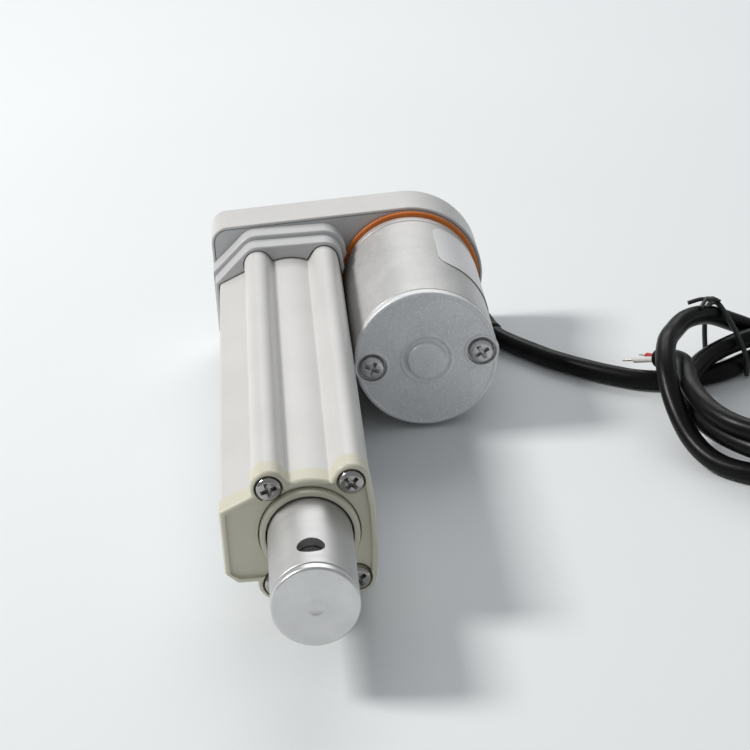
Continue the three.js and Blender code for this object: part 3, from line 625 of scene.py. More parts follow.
def rounded_end(outline, station, grow, r, away):
    """Sections that round an edge off: at the station the outline is drawn in by r."""
    sections = []
    for k in range(RIM_STEPS + 1):
        angle = k * TAU / 4 / RIM_STEPS
        inset, depth = r * (1 - math.sin(angle)), r * (1 - math.cos(angle))
        sections.append((station + away * depth, outline(grow - inset)))
    return sections


def tube_body(name, start, stop, grow, soft_start=0.0, soft_stop=0.0, outline=None):
    outline = outline or tube_outline
    first = (
        rounded_end(outline, start, grow, soft_start, 1)
        if soft_start
        else [(start, outline(grow))]
    )
    last = (
        rounded_end(outline, stop, grow, soft_stop, -1)[::-1]
        if soft_stop
        else [(stop, outline(grow))]
    )
    return lofted(name, [*first, *last])


def case_points():
    """The gearbox outline's points, each with the way it moves when the outline grows."""
    rounds = (
        (Case.corner_y, Case.top, Case.corner),
        (Case.corner_y, Case.low, Case.corner),
        (Motor.y, 0, Case.motor),
    )
    points = []
    for y, z, r in rounds:
        for i in range(4 * FULL_ROUND):
            dy, dz = (
                math.cos(i * TAU / 4 / FULL_ROUND),
                math.sin(i * TAU / 4 / FULL_ROUND),
            )
            points.append((y + r * dy, z + r * dz, dy, dz))
    return outer_hull(points)


CASE_POINTS = case_points()


def case_outline(grow):
    foot = FLOOR - grow
    return [
        (y + grow * dy, max(z + grow * dz, foot)) for y, z, dy, dz in CASE_POINTS
    ]


# ---- materials ----


class Finish:
    """A procedural material whose parts are added one by one."""

    def __init__(self, name, **constants):
        self.material = bpy.data.materials.new(name)
        self.material.use_nodes = True
        self.tree = self.material.node_tree
        self.shader = self.tree.nodes["Principled BSDF"]
        for socket, value in constants.items():
            self.shader.inputs[socket.replace("_", " ")].default_value = value

    def node(self, kind, settings=None, **inputs):
        made = self.tree.nodes.new("ShaderNode" + kind)
        for key, value in (settings or {}).items():
            setattr(made, key, value)
        for key, value in inputs.items():
            socket = made.inputs[key.replace("_", " ")]
            if isinstance(value, bpy.types.NodeSocket):
                self.tree.links.new(value, socket)
            else:
                socket.default_value = value
        return made

    def grain(self, scale, detail=3.0, stretch=(1, 1, 1), rough=0.55, warp=0.0):
        """Noise with features about 1/scale millimetres wide."""
        place = self.node("TexCoord").outputs["Object"]
        size = [s / MM for s in stretch]
        spread = self.node("Mapping", Vector=place, Scale=size).outputs["Vector"]
        made = self.node(
            "TexNoise",
            Vector=spread,
            Scale=scale,
            Detail=detail,
            Roughness=rough,
            Distortion=warp,
        )
        return made.outputs["Fac"]

    def ranged(self, value, low, high, out_low, out_high):
        return self.node(
            "MapRange",
            Value=value,
            From_Min=low,
            From_Max=high,
            To_Min=out_low,
            To_Max=out_high,
        ).outputs["Result"]

    def blended(self, fac, a, b):
        made = self.node("Mix", {"data_type": "RGBA"})
        for socket, value in ((0, fac), (6, a), (7, b)):
            if isinstance(value, bpy.types.NodeSocket):
                self.tree.links.new(value, made.inputs[socket])
            else:
                made.inputs[socket].default_value = (
                    (*value, 1) if isinstance(value, tuple) else value
                )
        return made.outputs[2]

    def colour(self, value):
        self.tree.links.new(value, self.shader.inputs["Base Color"])

    def roughness(self, value):
        self.tree.links.new(value, self.shader.inputs["Roughness"])

    def relief(self, height, depth, under=None):
        """Raises the surface by height, depth millimetres high at most."""
        inputs = {"Height": height, "Strength": 1.0, "Distance": depth * MM}
        if under is not None:
            inputs["Normal"] = under
        made = self.node("Bump", **inputs).outputs["Normal"]
        self.tree.links.new(made, self.shader.inputs["Normal"])
        return made

    def soft_edges(self, width):
        """The surface's normal with its edges rounded by width."""
        return self.node("Bevel", {"samples": 6}, Radius=width * MM).outputs["Normal"]

    def edges(self, width):
        """1 on edges, falling to 0 on the faces between them."""
        soft = self.node("Bevel", {"samples": 6}, Radius=width * MM).outputs["Normal"]
        true = self.node("NewGeometry").outputs["Normal"]
        same = self.node("VectorMath", {"operation": "DOT_PRODUCT"})
        self.tree.links.new(soft, same.inputs[0])
        self.tree.links.new(true, same.inputs[1])
        return self.ranged(same.outputs["Value"], 0.97, 0.82, 0.0, 1.0)


def grey(level, warm=0.0):
    return (level * (1 + warm), level, level * (1 - 1.6 * warm))


def painted(name, light, dark, rough=(0.38, 0.5), orange_peel=0.012, chip=None, **more):
    """Sprayed paint on metal: fine orange peel, faint cloudiness, thin on the edges."""
    made = Finish(name, **more)
    cloud = made.grain(0.035, 4)
    speck = made.grain(2.2, 2)
    base = made.blended(made.ranged(cloud, 0.35, 0.65, 0, 1), light, dark)
    fine = made.ranged(speck, 0.3, 0.75, 0, 0.35)
    base = made.blended(fine, base, tuple(0.88 * c for c in dark))
    if chip:
        worn = made.node("Math", {"operation": "MULTIPLY"})
        made.tree.links.new(made.edges(0.35), worn.inputs[0])
        patchy = made.ranged(made.grain(0.6, 4), 0.5, 0.62, 0, 0.8)
        made.tree.links.new(patchy, worn.inputs[1])
        base = made.blended(worn.outputs[0], base, chip)
    made.colour(base)
    made.roughness(made.ranged(made.grain(0.5, 3), 0.3, 0.7, *rough))
    made.relief(made.grain(1.1, 2), orange_peel, made.soft_edges(0.3))
    return made.material


def metal(name, colour, dull, rough, stretch=(1, 1, 1), scale=1.0, relief=0.002):
    """Bare or plated metal with tool marks drawn out along one way."""
    made = Finish(name, Metallic=1.0)
    marks = made.grain(scale, 4, stretch)
    cloud = made.grain(0.12, 3)
    base = made.blended(made.ranged(cloud, 0.3, 0.7, 0, 1), colour, dull)
    made.colour(base)
    made.roughness(made.ranged(marks, 0.3, 0.7, *rough))
    made.relief(marks, relief)
    return made.material


def moulded(name, light, dark, rough=(0.4, 0.52), texture=0.006, scale=1.6, **more):
    """Plastic or rubber from a mould: faint flow marks and a fine spark texture."""
    made = Finish(name, **more)
    base = made.blended(made.ranged(made.grain(0.06, 3), 0.3, 0.7, 0, 1), light, dark)
    made.colour(base)
    made.roughness(made.ranged(made.grain(0.4, 3), 0.3, 0.7, *rough))
    made.relief(made.grain(scale, 2), texture, made.soft_edges(0.2))
    return made.material


def faced_metal(name, centre, colour, dull, rough, pitch, cloudy=0.12):
    """Metal turned or faced in a lathe: fine rings round an axis along X."""
    made = Finish(name, Metallic=1.0)
    place = made.node("TexCoord").outputs["Object"]
    middle = at(0, *centre)
    shifted = made.node("VectorMath", {"operation": "SUBTRACT"})
    made.tree.links.new(place, shifted.inputs[0])
    shifted.inputs[1].default_value = middle
    flat = made.node("VectorMath", {"operation": "MULTIPLY"})
    made.tree.links.new(shifted.outputs[0], flat.inputs[0])
    flat.inputs[1].default_value = (0, 1, 1)
    far = made.node("VectorMath", {"operation": "LENGTH"})
    made.tree.links.new(flat.outputs[0], far.inputs[0])
    joint = made.node("CombineXYZ", X=far.outputs["Value"])
    along = made.node("SeparateXYZ", Vector=place).outputs["X"]
    made.tree.links.new(along, joint.inputs["Y"])
    spread = made.node("Mapping", Vector=joint.outputs[0], Scale=[pitch / MM] * 3)
    rings = made.node(
        "TexNoise", Vector=spread.outputs[0], Scale=1.0, Detail=4.0
    ).outputs["Fac"]
    cloud = made.grain(cloudy, 3)
    made.colour(
        made.blended(made.ranged(cloud, 0.3, 0.7, 0, 1), colour, dull)
    )
    made.roughness(made.ranged(rings, 0.3, 0.7, *rough))
    made.relief(rings, 0.003)
    return made.material


def silver_paint():
    """The motor's silver paint, with flake and drifts of tone."""
    made = Finish("silver_paint", Metallic=0.35, Coat_Weight=0.25, Coat_Roughness=0.3)
    flake = made.grain(4.0, 2)
    drift = made.grain(0.07, 5, warp=0.6)
    base = made.blended(
        made.ranged(drift, 0.35, 0.65, 0, 1), grey(0.56, 0.01), grey(0.47, 0.01)
    )
    base = made.blended(
        made.ranged(flake, 0.35, 0.7, 0, 0.5), base, grey(0.68, 0.005)
    )
    made.colour(base)
    made.roughness(made.ranged(made.grain(0.6, 4), 0.3, 0.7, 0.34, 0.5))
    made.relief(made.grain(1.4, 3), 0.014)
    return made.material


def scuffed_paint_with_edge_highlight():
    """The motor's end face: grey paint with scattered dark rub marks and light flecks, and
    every edge painted lighter as a painted highlight.
    """
    made = Finish("scuffed_paint_with_edge_highlight", Metallic=0.3)
    drift = made.grain(0.09, 5, warp=0.8)
    base = made.blended(
        made.ranged(drift, 0.35, 0.65, 0, 1), grey(0.76, -0.012), grey(0.66, -0.012)
    )
    fleck = made.ranged(made.grain(1.6, 4), 0.5, 0.66, 0, 0.7)
    base = made.blended(fleck, base, grey(0.88))
    smear = made.ranged(made.grain(0.12, 6, warp=0.5), 0.64, 0.74, 0, 0.5)
    base = made.blended(smear, base, grey(0.2))
    # Painted highlight: all edges are painted near white, standing in for the bright rims where
    # light catches them.
    painted_edge_highlight = made.edges(0.45)
    base = made.blended(painted_edge_highlight, base, grey(0.9))
    made.colour(base)
    made.roughness(made.ranged(made.grain(0.5, 4), 0.3, 0.7, 0.36, 0.54))
    made.relief(made.grain(1.2, 4), 0.014, made.soft_edges(0.15))
    return made.material


def gear_steel(name, level):
    return metal(name, grey(level), grey(level * 0.75), (0.28, 0.45), (1, 3, 3), 0.9)


COAT = dict(Coat_Weight=0.2, Coat_Roughness=0.25)
case_paint = painted(
    "case_paint", grey(0.62, 0.012), grey(0.57, 0.014), chip=grey(0.72), **COAT
)
# Painted shade: the front plate has the cover's light grey paint, made a little darker here
# because the plate faces away from the light.
plate_paint = painted(
    "plate_paint", grey(0.56, -0.004), grey(0.51, -0.004), chip=grey(0.7), **COAT
)
tube_paint = painted(
    "tube_paint",
    grey(0.64, 0.014),
    grey(0.6, 0.016),
    (0.36, 0.46),
    0.006,
    chip=grey(0.7),
    **COAT,
)
ivory = moulded(
    "ivory", (0.64, 0.62, 0.51), (0.59, 0.57, 0.46), (0.36, 0.5), 0.01, 1.2,
    Subsurface_Weight=0.04, Subsurface_Scale=0.002,
)
rod_metal = metal(
    "rod_metal",
    grey(0.58, 0.004),
    grey(0.53, 0.004),
    (0.44, 0.54),
    (1, 0.03, 0.03),
    3.0,
    0.0006,
)
rod_face = faced_metal(
    "rod_face", (0, 0), grey(0.72, 0.004), grey(0.62, 0.004), (0.3, 0.42), 2.4
)
nickel = metal("nickel", grey(0.5, 0.02), grey(0.34, 0.03), (0.12, 0.26), scale=0.8)
zinc = metal("zinc", grey(0.62), grey(0.45, 0.01), (0.22, 0.42), scale=1.5, relief=0.006)
steel = gear_steel("steel", 0.52)
bright_steel = gear_steel("bright_steel", 0.66)
bronze = metal("bronze", (0.52, 0.36, 0.17), (0.4, 0.26, 0.11), (0.3, 0.46), scale=1.3)
copper = metal(
    "copper_wire", (0.72, 0.33, 0.18), (0.5, 0.2, 0.1), (0.25, 0.42), (4, 1, 1), 0.8, 0.03
)
carbon = moulded("carbon", grey(0.03), grey(0.018), (0.55, 0.75), 0.02)
ferrite = moulded("ferrite", grey(0.05), grey(0.035), (0.6, 0.8), 0.02)
acetal = moulded("acetal", grey(0.72, 0.02), grey(0.66, 0.025), (0.35, 0.48))
black_rubber = moulded("black_rubber", grey(0.022), grey(0.014), (0.42, 0.6), 0.012)
black_plastic = moulded("black_plastic", grey(0.03), grey(0.02), (0.34, 0.5), 0.008)
board_green = moulded("board_green", (0.02, 0.13, 0.05), (0.015, 0.09, 0.035))
orange_rubber = moulded(
    "orange_rubber", (0.78, 0.22, 0.025), (0.64, 0.15, 0.015), (0.42, 0.6), 0.015
)
label_film = moulded("label_film", grey(0.8), grey(0.75), (0.3, 0.42), 0.003)
bare_wire = metal(
    "bare_wire", (0.82, 0.79, 0.74), (0.68, 0.62, 0.54), (0.25, 0.4), (3, 3, 3), 1.2, 0.04
)
core_white = moulded("core_white", grey(0.7, 0.01), grey(0.62, 0.02), (0.35, 0.5))
core_red = moulded("core_red", (0.5, 0.03, 0.02), (0.38, 0.02, 0.015), (0.35, 0.5))
motor_silver = silver_paint()
motor_face = scuffed_paint_with_edge_highlight()


def cord_jacket():
    """Soft black PVC: a low sheen broken by handling marks."""
    made = Finish("cord_jacket", Specular_IOR_Level=0.12, Coat_Weight=0.05, Coat_Roughness=0.16)
    made.colour(
        made.blended(
            made.ranged(made.grain(0.12, 4), 0.35, 0.7, 0, 1), grey(0.003), grey(0.006)
        )
    )
    made.roughness(made.ranged(made.grain(0.35, 5, warp=0.4), 0.3, 0.7, 0.3, 0.44))
    made.relief(made.grain(0.4, 2), 0.012)
    return made.material


jacket = cord_jacket()


def dressed(piece, body, finish, *nodes):
    """Gives a piece its material, its body and the CAD nodes that it stands for."""
    piece.data.materials.clear()
    piece.data.materials.append(finish)
    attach(piece, body)
    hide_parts(*nodes)
    return piece


# ---- rod ----


def cross_hole():
    return disc(Rod.hole, -2 * Rod.r, 2 * Rod.r, (Rod.hole_at, 0), "z")


def make_rod():
    profile = [
        (Rod.flange + GAP, Rod.bore, 0.2),
        (Rod.flange + GAP, Rod.r, 0.5),
        (Rod.end, Rod.r, 0.3),
        (Rod.end, Rod.bore, 0.2),
    ]
    rod = cut(turned("push_rod_body", profile), cross_hole())
    dressed(polished_edges(rod, 0.25, steps=3), "rod", rod_metal, "push_rod")


def make_rod_plug():
    spigot = Rod.bore - GAP
    profile = [
        (Rod.dimple * 0.36, 0),
        (0, Rod.dimple, 0.25),
        (0, Rod.r, 0.7),
        (Rod.flange, Rod.r, 0.25),
        (Rod.flange, spigot, 0.1),
        (Rod.plug_end, spigot, 0.5),
        (Rod.plug_end, 0),
    ]
    plug = cut(turned("rod_end_plug_body", profile), cross_hole())
    dressed(polished_edges(plug), "rod", rod_face, "rod_end_plug")


make_rod()
make_rod_plug()


# ---- fasteners ----


def cross_outline(arm, half):
    corner = [(arm, -half), (arm, half), (half, half)]
    points = []
    for quarter in range(4):
        angle = quarter * TAU / 4
        c, s = math.cos(angle), math.sin(angle)
        points += [(y * c - z * s, y * s + z * c) for y, z in corner]
    return points


def cross_recess(top, depth, arm, centre, turn, inward):
    """A Phillips recess: a cross that narrows as it goes down, with a hollow in its middle."""

    def placed(outline):
        c, s = math.cos(turn), math.sin(turn)
        return [
            (centre[0] + y * c - z * s, centre[1] + y * s + z * c) for y, z in outline
        ]

    sections = [
        (top - inward * 0.4, placed(cross_outline(arm * 1.08, arm * 0.26))),
        (top + inward * depth * 0.5, placed(cross_outline(arm * 0.74, arm * 0.2))),
        (top + inward * depth, placed(cross_outline(arm * 0.36, arm * 0.14))),
    ]
    cross = lofted("recess", sections)
    hollow = [
        (top - inward * 0.4, 0),
        (top - inward * 0.4, arm * 0.5),
        (top + inward * depth * 0.55, arm * 0.3),
        (top + inward * depth * 1.15, 0),
    ]
    return added(cross, turned("hollow", hollow, centre, segments=SMALL_ROUND))


def make_screw(name, seat, inward, head_r, head, shank_r, end, centre, turn):
    """A pan-head screw lying along X, driven the way inward says (1 is away from the tip)."""
    top = seat - inward * head
    profile = [
        (top, 0),
        (top, head_r * 0.86, head_r * 0.6),
        (seat - inward * head * 0.3, head_r, head * 0.3),
        (seat, head_r, 0.15),
        (seat, shank_r),
        (end, shank_r, 0.4),
        (end, 0),
    ]
    screw = turned(name, profile, centre, segments=SMALL_ROUND)
    recess = cross_recess(top, head * 0.72, head_r * 0.66, centre, turn, inward)
    return polished_edges(cut(screw, recess), 0.07, steps=2)


def make_cap_screws():
    turns = (0.3, 0.75, 1.1, 0.55)
    for i, (centre, turn) in enumerate(zip(RIBS, turns), 1):
        screw = make_screw(
            f"cap_screw_{i}_body", Cap.seat, 1, 3.15, 2.2, 1.6, 50.5, centre, turn
        )
        dressed(screw, "body", nickel, f"cap_screw_{i}")


def make_motor_screws():
    seat = Motor.face + 1 - GAP
    for i, (centre, turn) in enumerate(zip(MOTOR_SCREWS, (0.5, 1.05)), 1):
        screw = make_screw(
            f"motor_screw_{i}_body", seat, 1, 3.5, 1.9, 1.4, 188.5, centre, turn
        )
        dressed(screw, "body", zinc, f"motor_screw_{i}")


def make_cover_screws():
    for i, (centre, turn) in enumerate(zip(COVER_SCREWS, (0.2, 0.9, 1.3, 0.6)), 1):
        screw = make_screw(
            f"cover_screw_{i}_body", 202.3, -1, 2.9, 1.8, 1.5, 187.6, centre, turn
        )
        dressed(screw, "body", zinc, f"cover_screw_{i}")


make_cap_screws()
make_motor_screws()
make_cover_screws()


# ---- tube and front cap ----


def make_tube():
    before, past = Tube.start - 1, Tube.end + 1
    body = tube_body("outer_tube_body", Tube.start, Tube.end, 0, 0.25, 0.25)
    hollow = block(
        before,
        past,
        -Chamber.hollow_outer,
        -Chamber.hollow_inner,
        -Chamber.hollow_bottom,
        Chamber.hollow_top,
    )
    slot = block(
        before,
        past,
        -Chamber.slot_to,
        -Chamber.slot_from,
        -Chamber.slot_half,
        Chamber.slot_half,
    )
    pilots = [
        disc(Tube.pilot, before, Tube.start + Tube.pilot_depth, spot) for spot in RIBS
    ]
    bore = disc(Section.bore, before, past, segments=FULL_ROUND)
    cut(body, bore, hollow, slot, *pilots)
    dressed(polished_edges(body), "body", tube_paint, "outer_tube")


def make_front_cap():
    body = tube_body("front_cap_body", Cap.front, Cap.back, Cap.grow, 1.1, 0.3)
    spigot = disc(Cap.spigot, Cap.back - 1, Cap.spigot_end, segments=FULL_ROUND)
    sunk = tube_body(
        "sunk",
        Cap.front - 1,
        Cap.front + Cap.recess,
        Cap.grow - Cap.rim - 0.2,
        soft_stop=0.45,
    )
    added(body, spigot)
    pockets = [
        turned(
            "pocket",
            [
                (Cap.front - 1, 0),
                (Cap.front - 1, Cap.pocket),
                (Cap.seat + GAP, Cap.pocket, 0.3),
                (Cap.seat + GAP, Tube.pilot),
                (Cap.back + 1, Tube.pilot),
                (Cap.back + 1, 0),
            ],
            spot,
            segments=SMALL_ROUND,
        )
        for spot in RIBS
    ]
    bores = [
        disc(Cap.bore, Cap.front - 1, Cap.spigot_end + 1, segments=FULL_ROUND),
        disc(Cap.wiper, Cap.front - 1, Cap.wiper_end, segments=FULL_ROUND),
        disc(Cap.wiper, Cap.seal_start, Cap.seal_end, segments=FULL_ROUND),
    ]
    cut(body, sunk, *pockets, *bores)
    dressed(polished_edges(body), "body", ivory, "front_cap")


def make_wiper():
    profile = [
        (Wiper.front, Cap.bore + Wiper.lead_in, 0.15),
        (Wiper.front, Wiper.r, 0.7),
        (Wiper.end, Wiper.r, 0.2),
        (Wiper.end, Cap.bore, 0.2),
        (Wiper.lip, Cap.bore),
    ]
    body = turned("rod_wiper_body", profile)
    dressed(polished_edges(body), "body", ivory, "rod_wiper")


make_tube()
make_front_cap()
make_wiper()


# ---- gearbox ----


def case_body(name, start, stop, grow, soft_start=0.0, soft_stop=0.0):
    return tube_body(name, start, stop, grow, soft_start, soft_stop, case_outline)


def screw_holes(spots, r, start, stop):
    return [disc(r, start, stop, spot) for spot in spots]


def idler_pin_place():
    """The pin's y, and the stations of its front and back ends."""
    low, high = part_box("idler_pin")
    y = ((low[1] + high[1]) / 2 - TIP.y) / MM
    return y, (TIP.x - high[0]) / MM, (TIP.x - low[0]) / MM


def make_housing():
    plate_grow = -Case.wall - GAP
    plate = case_body("gearbox_housing_body", Case.front, Case.plate_back, plate_grow)
    lip = case_body("lip", Case.front, Case.front + Case.lip, -Case.lip_in, 0.2)
    added(plate, lip)
    low_step = tube_body(
        "low_step",
        Socket.front,
        Socket.step + 1,
        Socket.grow_front,
        0.6,
        outline=collar_outline,
    )
    high_step = tube_body(
        "high_step",
        Socket.step,
        Case.front + 1,
        Socket.grow_back,
        0.6,
        outline=collar_outline,
    )
    room = common(
        case_body("room", Socket.front - 1, Case.front, 0),
        added(low_step, high_step),
    )
    motor_room = disc(
        Motor.gasket_outer + 2 * GAP,
        Socket.front - 1,
        Case.front,
        (Motor.y, 0),
        segments=FULL_ROUND,
    )
    cut(room, motor_room)
    root = common(
        tube_body(
            "root",
            Case.front - 1,
            Case.front + 1,
            Socket.grow_back,
            outline=collar_outline,
        ),
        case_body("inner", Case.front - 1, Case.front + 1, plate_grow),
    )
    cut(
        root,
        disc(
            Motor.gasket_outer + 2 * GAP,
            Case.front - 2,
            Case.front,
            (Motor.y, 0),
            segments=FULL_ROUND,
        ),
    )
    added(plate, room, root)
    past = Case.plate_back + 1
    idler_y, pin_front, _ = idler_pin_place()
    bearing_low, bearing_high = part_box("bearing_outer_ring")
    seat = (bearing_high[1] - bearing_low[1]) / MM / 2 + 0.05
    holes = [
        tube_body("socket_hole", Socket.front - 1, Socket.floor, GAP),
        disc(seat + 0.1, Socket.floor - 1, past, segments=FULL_ROUND),
        disc(Motor.nose + GAP, Case.front - 1, past, (Motor.y, 0)),
        disc(Case.pin_hole, pin_front - GAP, past, (idler_y, 0)),
        *screw_holes(MOTOR_SCREWS, Motor.pilot, Case.front - 1, Motor.pilot_end),
        *screw_holes(COVER_SCREWS, Case.screw_hole, Case.screw_from, past),
    ]
    cut(plate, *holes)
    # The front plate takes the darker copy of the case paint, which paints in its shade.
    dressed(polished_edges(plate), "body", plate_paint, "gearbox_housing")


def make_cover():
    shell = case_body(
        "rear_cover_body", Case.front, Case.back, 0, 0.35, Case.edge_round
    )
    hollow = case_body("hollow", Case.front - 1, Case.floor, -Case.wall, soft_stop=0.8)
    lip_room = case_body(
        "lip_room", Case.front - 1, Case.front + Case.lip_room, -Case.lip_room_in
    )
    cut(shell, hollow, lip_room)
    bosses = screw_holes(COVER_SCREWS, Case.boss, Case.boss_from, Case.floor + GAP)
    inside = [
        common(boss, case_body("inside", Case.front, Case.floor + GAP, -0.2))
        for boss in bosses
    ]
    web = [
        (Case.edge - 0.3, -Lug.flare, Lug.flare),
        (Case.back + 1, -Lug.flare + Lug.taper, Lug.flare - Lug.taper),
        (Lug.flare_end, -Lug.r - 0.6, Lug.r + 0.6),
        (Lug.at - 4, -Lug.r + 0.05, Lug.r - 0.05),
        (Lug.at, -Lug.r + 0.05, Lug.r - 0.05),
    ]
    sections = []
    for station, low, high in web:
        half = Lug.web
        sections.append(
            (station, [(low, -half), (high, -half), (high, half), (low, half)])
        )
    plate = lofted("web", sections)
    eye = turned(
        "eye",
        [
            (-Lug.half, 0),
            (-Lug.half, Lug.r, 0.6),
            (Lug.half, Lug.r, 0.6),
            (Lug.half, 0),
        ],
        (Lug.at, 0),
        "z",
    )
    added(shell, *inside, plate, eye)
    pin_y, _, pin_back = idler_pin_place()
    holes = [
        *screw_holes(COVER_SCREWS, Case.screw_hole, Case.front - 1, Case.back + 1),
        disc(Case.pin_hole, Case.floor - 1, pin_back + GAP, (pin_y, 0)),
        disc(Lug.bore, -Lug.half - 1, Lug.half + 1, (Lug.at, 0), "z"),
        disc(Cable.hole, Cable.wall_from, Cable.wall_to, (Cable.station, Cable.z), "y"),
    ]
    cut(shell, *holes)
    dressed(polished_edges(shell), "body", case_paint, "rear_cover")


def make_bush():
    profile = [
        (-Lug.half, Lug.bush_inner, 0.3),
        (-Lug.half, Lug.bush_outer, 0.1),
        (Lug.half, Lug.bush_outer, 0.1),
        (Lug.half, Lug.bush_inner, 0.3),
    ]
    body = turned("rear_bush_body", profile, (Lug.at, 0), "z", SMALL_ROUND)
    dressed(polished_edges(body), "body", bronze, "rear_bush")


make_housing()
make_cover()
make_bush()


# ---- motor ----


def make_motor_can():
    body = ring(
        "motor_can_body",
        Motor.inner,
        Motor.r,
        Motor.cap_back + GAP,
        Motor.can_back,
        (Motor.y, 0),
        0.5,
    )
    dressed(polished_edges(body), "body", motor_silver, "motor_can")


def make_motor_cap():
    face = Motor.face
    profile = [
        (face - Motor.boss_height, 0),
        (face - Motor.boss_height, Motor.boss, 0.7),
        (face - 0.15, Motor.boss, 0.3),
        (face + 0.25, Motor.boss + 0.7, 0.3),
        (face - 0.25, Motor.boss_ring, 0.35),
        (face, Motor.boss_ring + 0.5, 0.2),
        (face, Motor.r - 1.2, 0.25),
        (face - 0.12, Motor.r - 0.9, 0.15),
        (face + 0.1, Motor.r, 0.5),
        (Motor.cap_back, Motor.r, 0.25),
        (Motor.cap_back, 0),
    ]
    body = turned("motor_end_cap_body", profile, (Motor.y, 0), segments=192)
    wells = [
        turned(
            "well",
            [
                (face - 1, 0),
                (face - 1, 4.05),
                (face + 1, 4.05, 0.2),
                (face + 1, 0),
            ],
            spot,
            segments=SMALL_ROUND,
        )
        for spot in MOTOR_SCREWS
    ]
    rims = [
        turned(
            "rim",
            [
                (face - 0.3, 4.06, 0.2),
                (face - 0.3, 4.75, 0.3),
                (face + 0.6, 4.9),
                (face + 0.6, 4.06),
            ],
            spot,
            segments=SMALL_ROUND,
        )
        for spot in MOTOR_SCREWS
    ]
    bush = disc(4.2, face - Motor.boss_height + 0.9, Motor.cap_back + 1, (Motor.y, 0))
    holes = screw_holes(MOTOR_SCREWS, Motor.pilot, face - 1, Motor.cap_back + 1)
    added(body, *rims)
    cut(body, *wells, *holes, bush)
    dressed(polished_edges(body), "body", motor_face, "motor_end_cap")


def make_motor_back():
    profile = [
        (Motor.can_back + GAP, 0),
        (Motor.can_back + GAP, Motor.r, 0.3),
        (Motor.back, Motor.r, 0.3),
        (Motor.back, Motor.nose, 0.2),
        (Motor.nose_end, Motor.nose, 0.5),
        (Motor.nose_end, 0),
    ]
    body = turned("motor_mount_plate_body", profile, (Motor.y, 0))
    past = Motor.nose_end + 1
    well = disc(Motor.well, Motor.can_back - 1, past, (Motor.y, 0))
    cut(body, well, *screw_holes(MOTOR_SCREWS, Motor.pilot, Motor.can_back - 1, past))
    dressed(polished_edges(body), "body", motor_silver, "motor_mount_plate")


def make_gasket():
    body = ring(
        "motor_gasket_body",
        Motor.gasket_inner,
        Motor.gasket_outer,
        Motor.gasket_front,
        Motor.gasket_back,
        (Motor.y, 0),
        0.45,
    )
    dressed(polished_edges(body), "body", orange_rubber, "motor_gasket")


def make_label():
    """A thin blank sticker with round corners, wrapped on the side of the can."""
    inner, outer = 19.86, 20.02
    start, stop = 149.6, 177.6
    first, last = math.radians(-60), math.radians(70)
    corner = 4.5
    across, along = 96, 24
    points = []
    for k in range(across + 1):
        angle = first + (last - first) * k / across
        edge = min(angle - first, last - angle) * outer
        draw = 0.0
        if edge < corner:
            draw = corner - math.sqrt(max(0.0, corner**2 - (corner - edge) ** 2))
        points.append((angle, start + draw, stop - draw))
    vertices, faces = [], []
    for r in (inner, outer):
        for angle, low, high in points:
            for m in range(along + 1):
                station = low + (high - low) * m / along
                y = Motor.y + r * math.cos(angle)
                vertices.append((station, y, r * math.sin(angle)))
    row = along + 1
    layer = row * (across + 1)
    for k in range(across):
        for m in range(along):
            a = k * row + m
            quad = (a, a + 1, a + row + 1, a + row)
            faces.append(quad)
            faces.append(tuple(v + layer for v in reversed(quad)))
    loop = [k * row for k in range(across + 1)]
    loop += [across * row + m for m in range(1, row)]
    loop += [k * row + along for k in range(across - 1, -1, -1)]
    loop += [m for m in range(along - 1, 0, -1)]
    for a, b in zip(loop, [*loop[1:], loop[0]]):
        faces.append((a, b, b + layer, a + layer))
    body = body_of_faces("motor_label_body", vertices, faces)
    dressed(polished_edges(body), "body", label_film, "motor_label")


make_motor_can()
make_motor_cap()
make_motor_back()
make_gasket()
make_label()


# ---- cord ----


def swept(name, path, radii, sides=20):
    """A closed tube along a path, with its own radius at each point."""
    vertices, faces = [], []
    side = Vector((0, 0, 1))
    for i, (place, r) in enumerate(zip(path, radii)):
        ahead = (path[min(i + 1, len(path) - 1)] - path[max(i - 1, 0)]).normalized()
        across = ahead.cross(side).normalized()
        side = across.cross(ahead).normalized()
        for k in range(sides):
            angle = k * TAU / sides
            spot = place + (across * math.cos(angle) + side * math.sin(angle)) * r * MM
            vertices.append(spot)
    for i in range(len(path) - 1):
        for k in range(sides):
            j = (k + 1) % sides
            a, b = i * sides, (i + 1) * sides
            faces.append((a + k, a + j, b + j, b + k))
    faces.append(tuple(range(sides)))
    faces.append(tuple(range(len(vertices) - sides, len(vertices))))
    mesh = bpy.data.meshes.new(name)
    mesh.from_pydata(vertices, [], faces)
    shell = bmesh.new()
    shell.from_mesh(mesh)
    bmesh.ops.recalc_face_normals(shell, faces=shell.faces)
    shell.to_mesh(mesh)
    shell.free()
    body = bpy.data.objects.new(name, mesh)
    SCENE.collection.objects.link(body)
    return body


def make_boot():
    """The moulded elbow that the cord leaves by, with grooves near its end."""
    spots = (
        (Cable.station, 45.5, Cable.z),
        (Cable.station, 49.5, Cable.z),
        (Cable.station, 52.4, Cable.z),
        (192.4, 55.4, Cable.z - 0.2),
        (188.6, 57.3, Cable.z - 0.5),
        (184.2, 58.2, Cable.z - 0.8),
        (180.0, 59.4, Cable.z - 0.9),
    )
    path = smooth_path([at(*p) for p in spots], 12)
    radii = []
    for i in range(len(path)):
        grooved = Cable.first_groove < i < Cable.last_groove
        depth = max(0.0, math.sin(i * Cable.groove_turn)) if grooved else 0.0
        radii.append(Cable.boot - Cable.groove * depth)
    radii[-1] = radii[0] = Cable.boot - Cable.boot_lip
    body = swept("cable_grommet_body", path, radii, 40)
    dressed(polished_edges(body), "body", black_rubber, "cable_grommet")


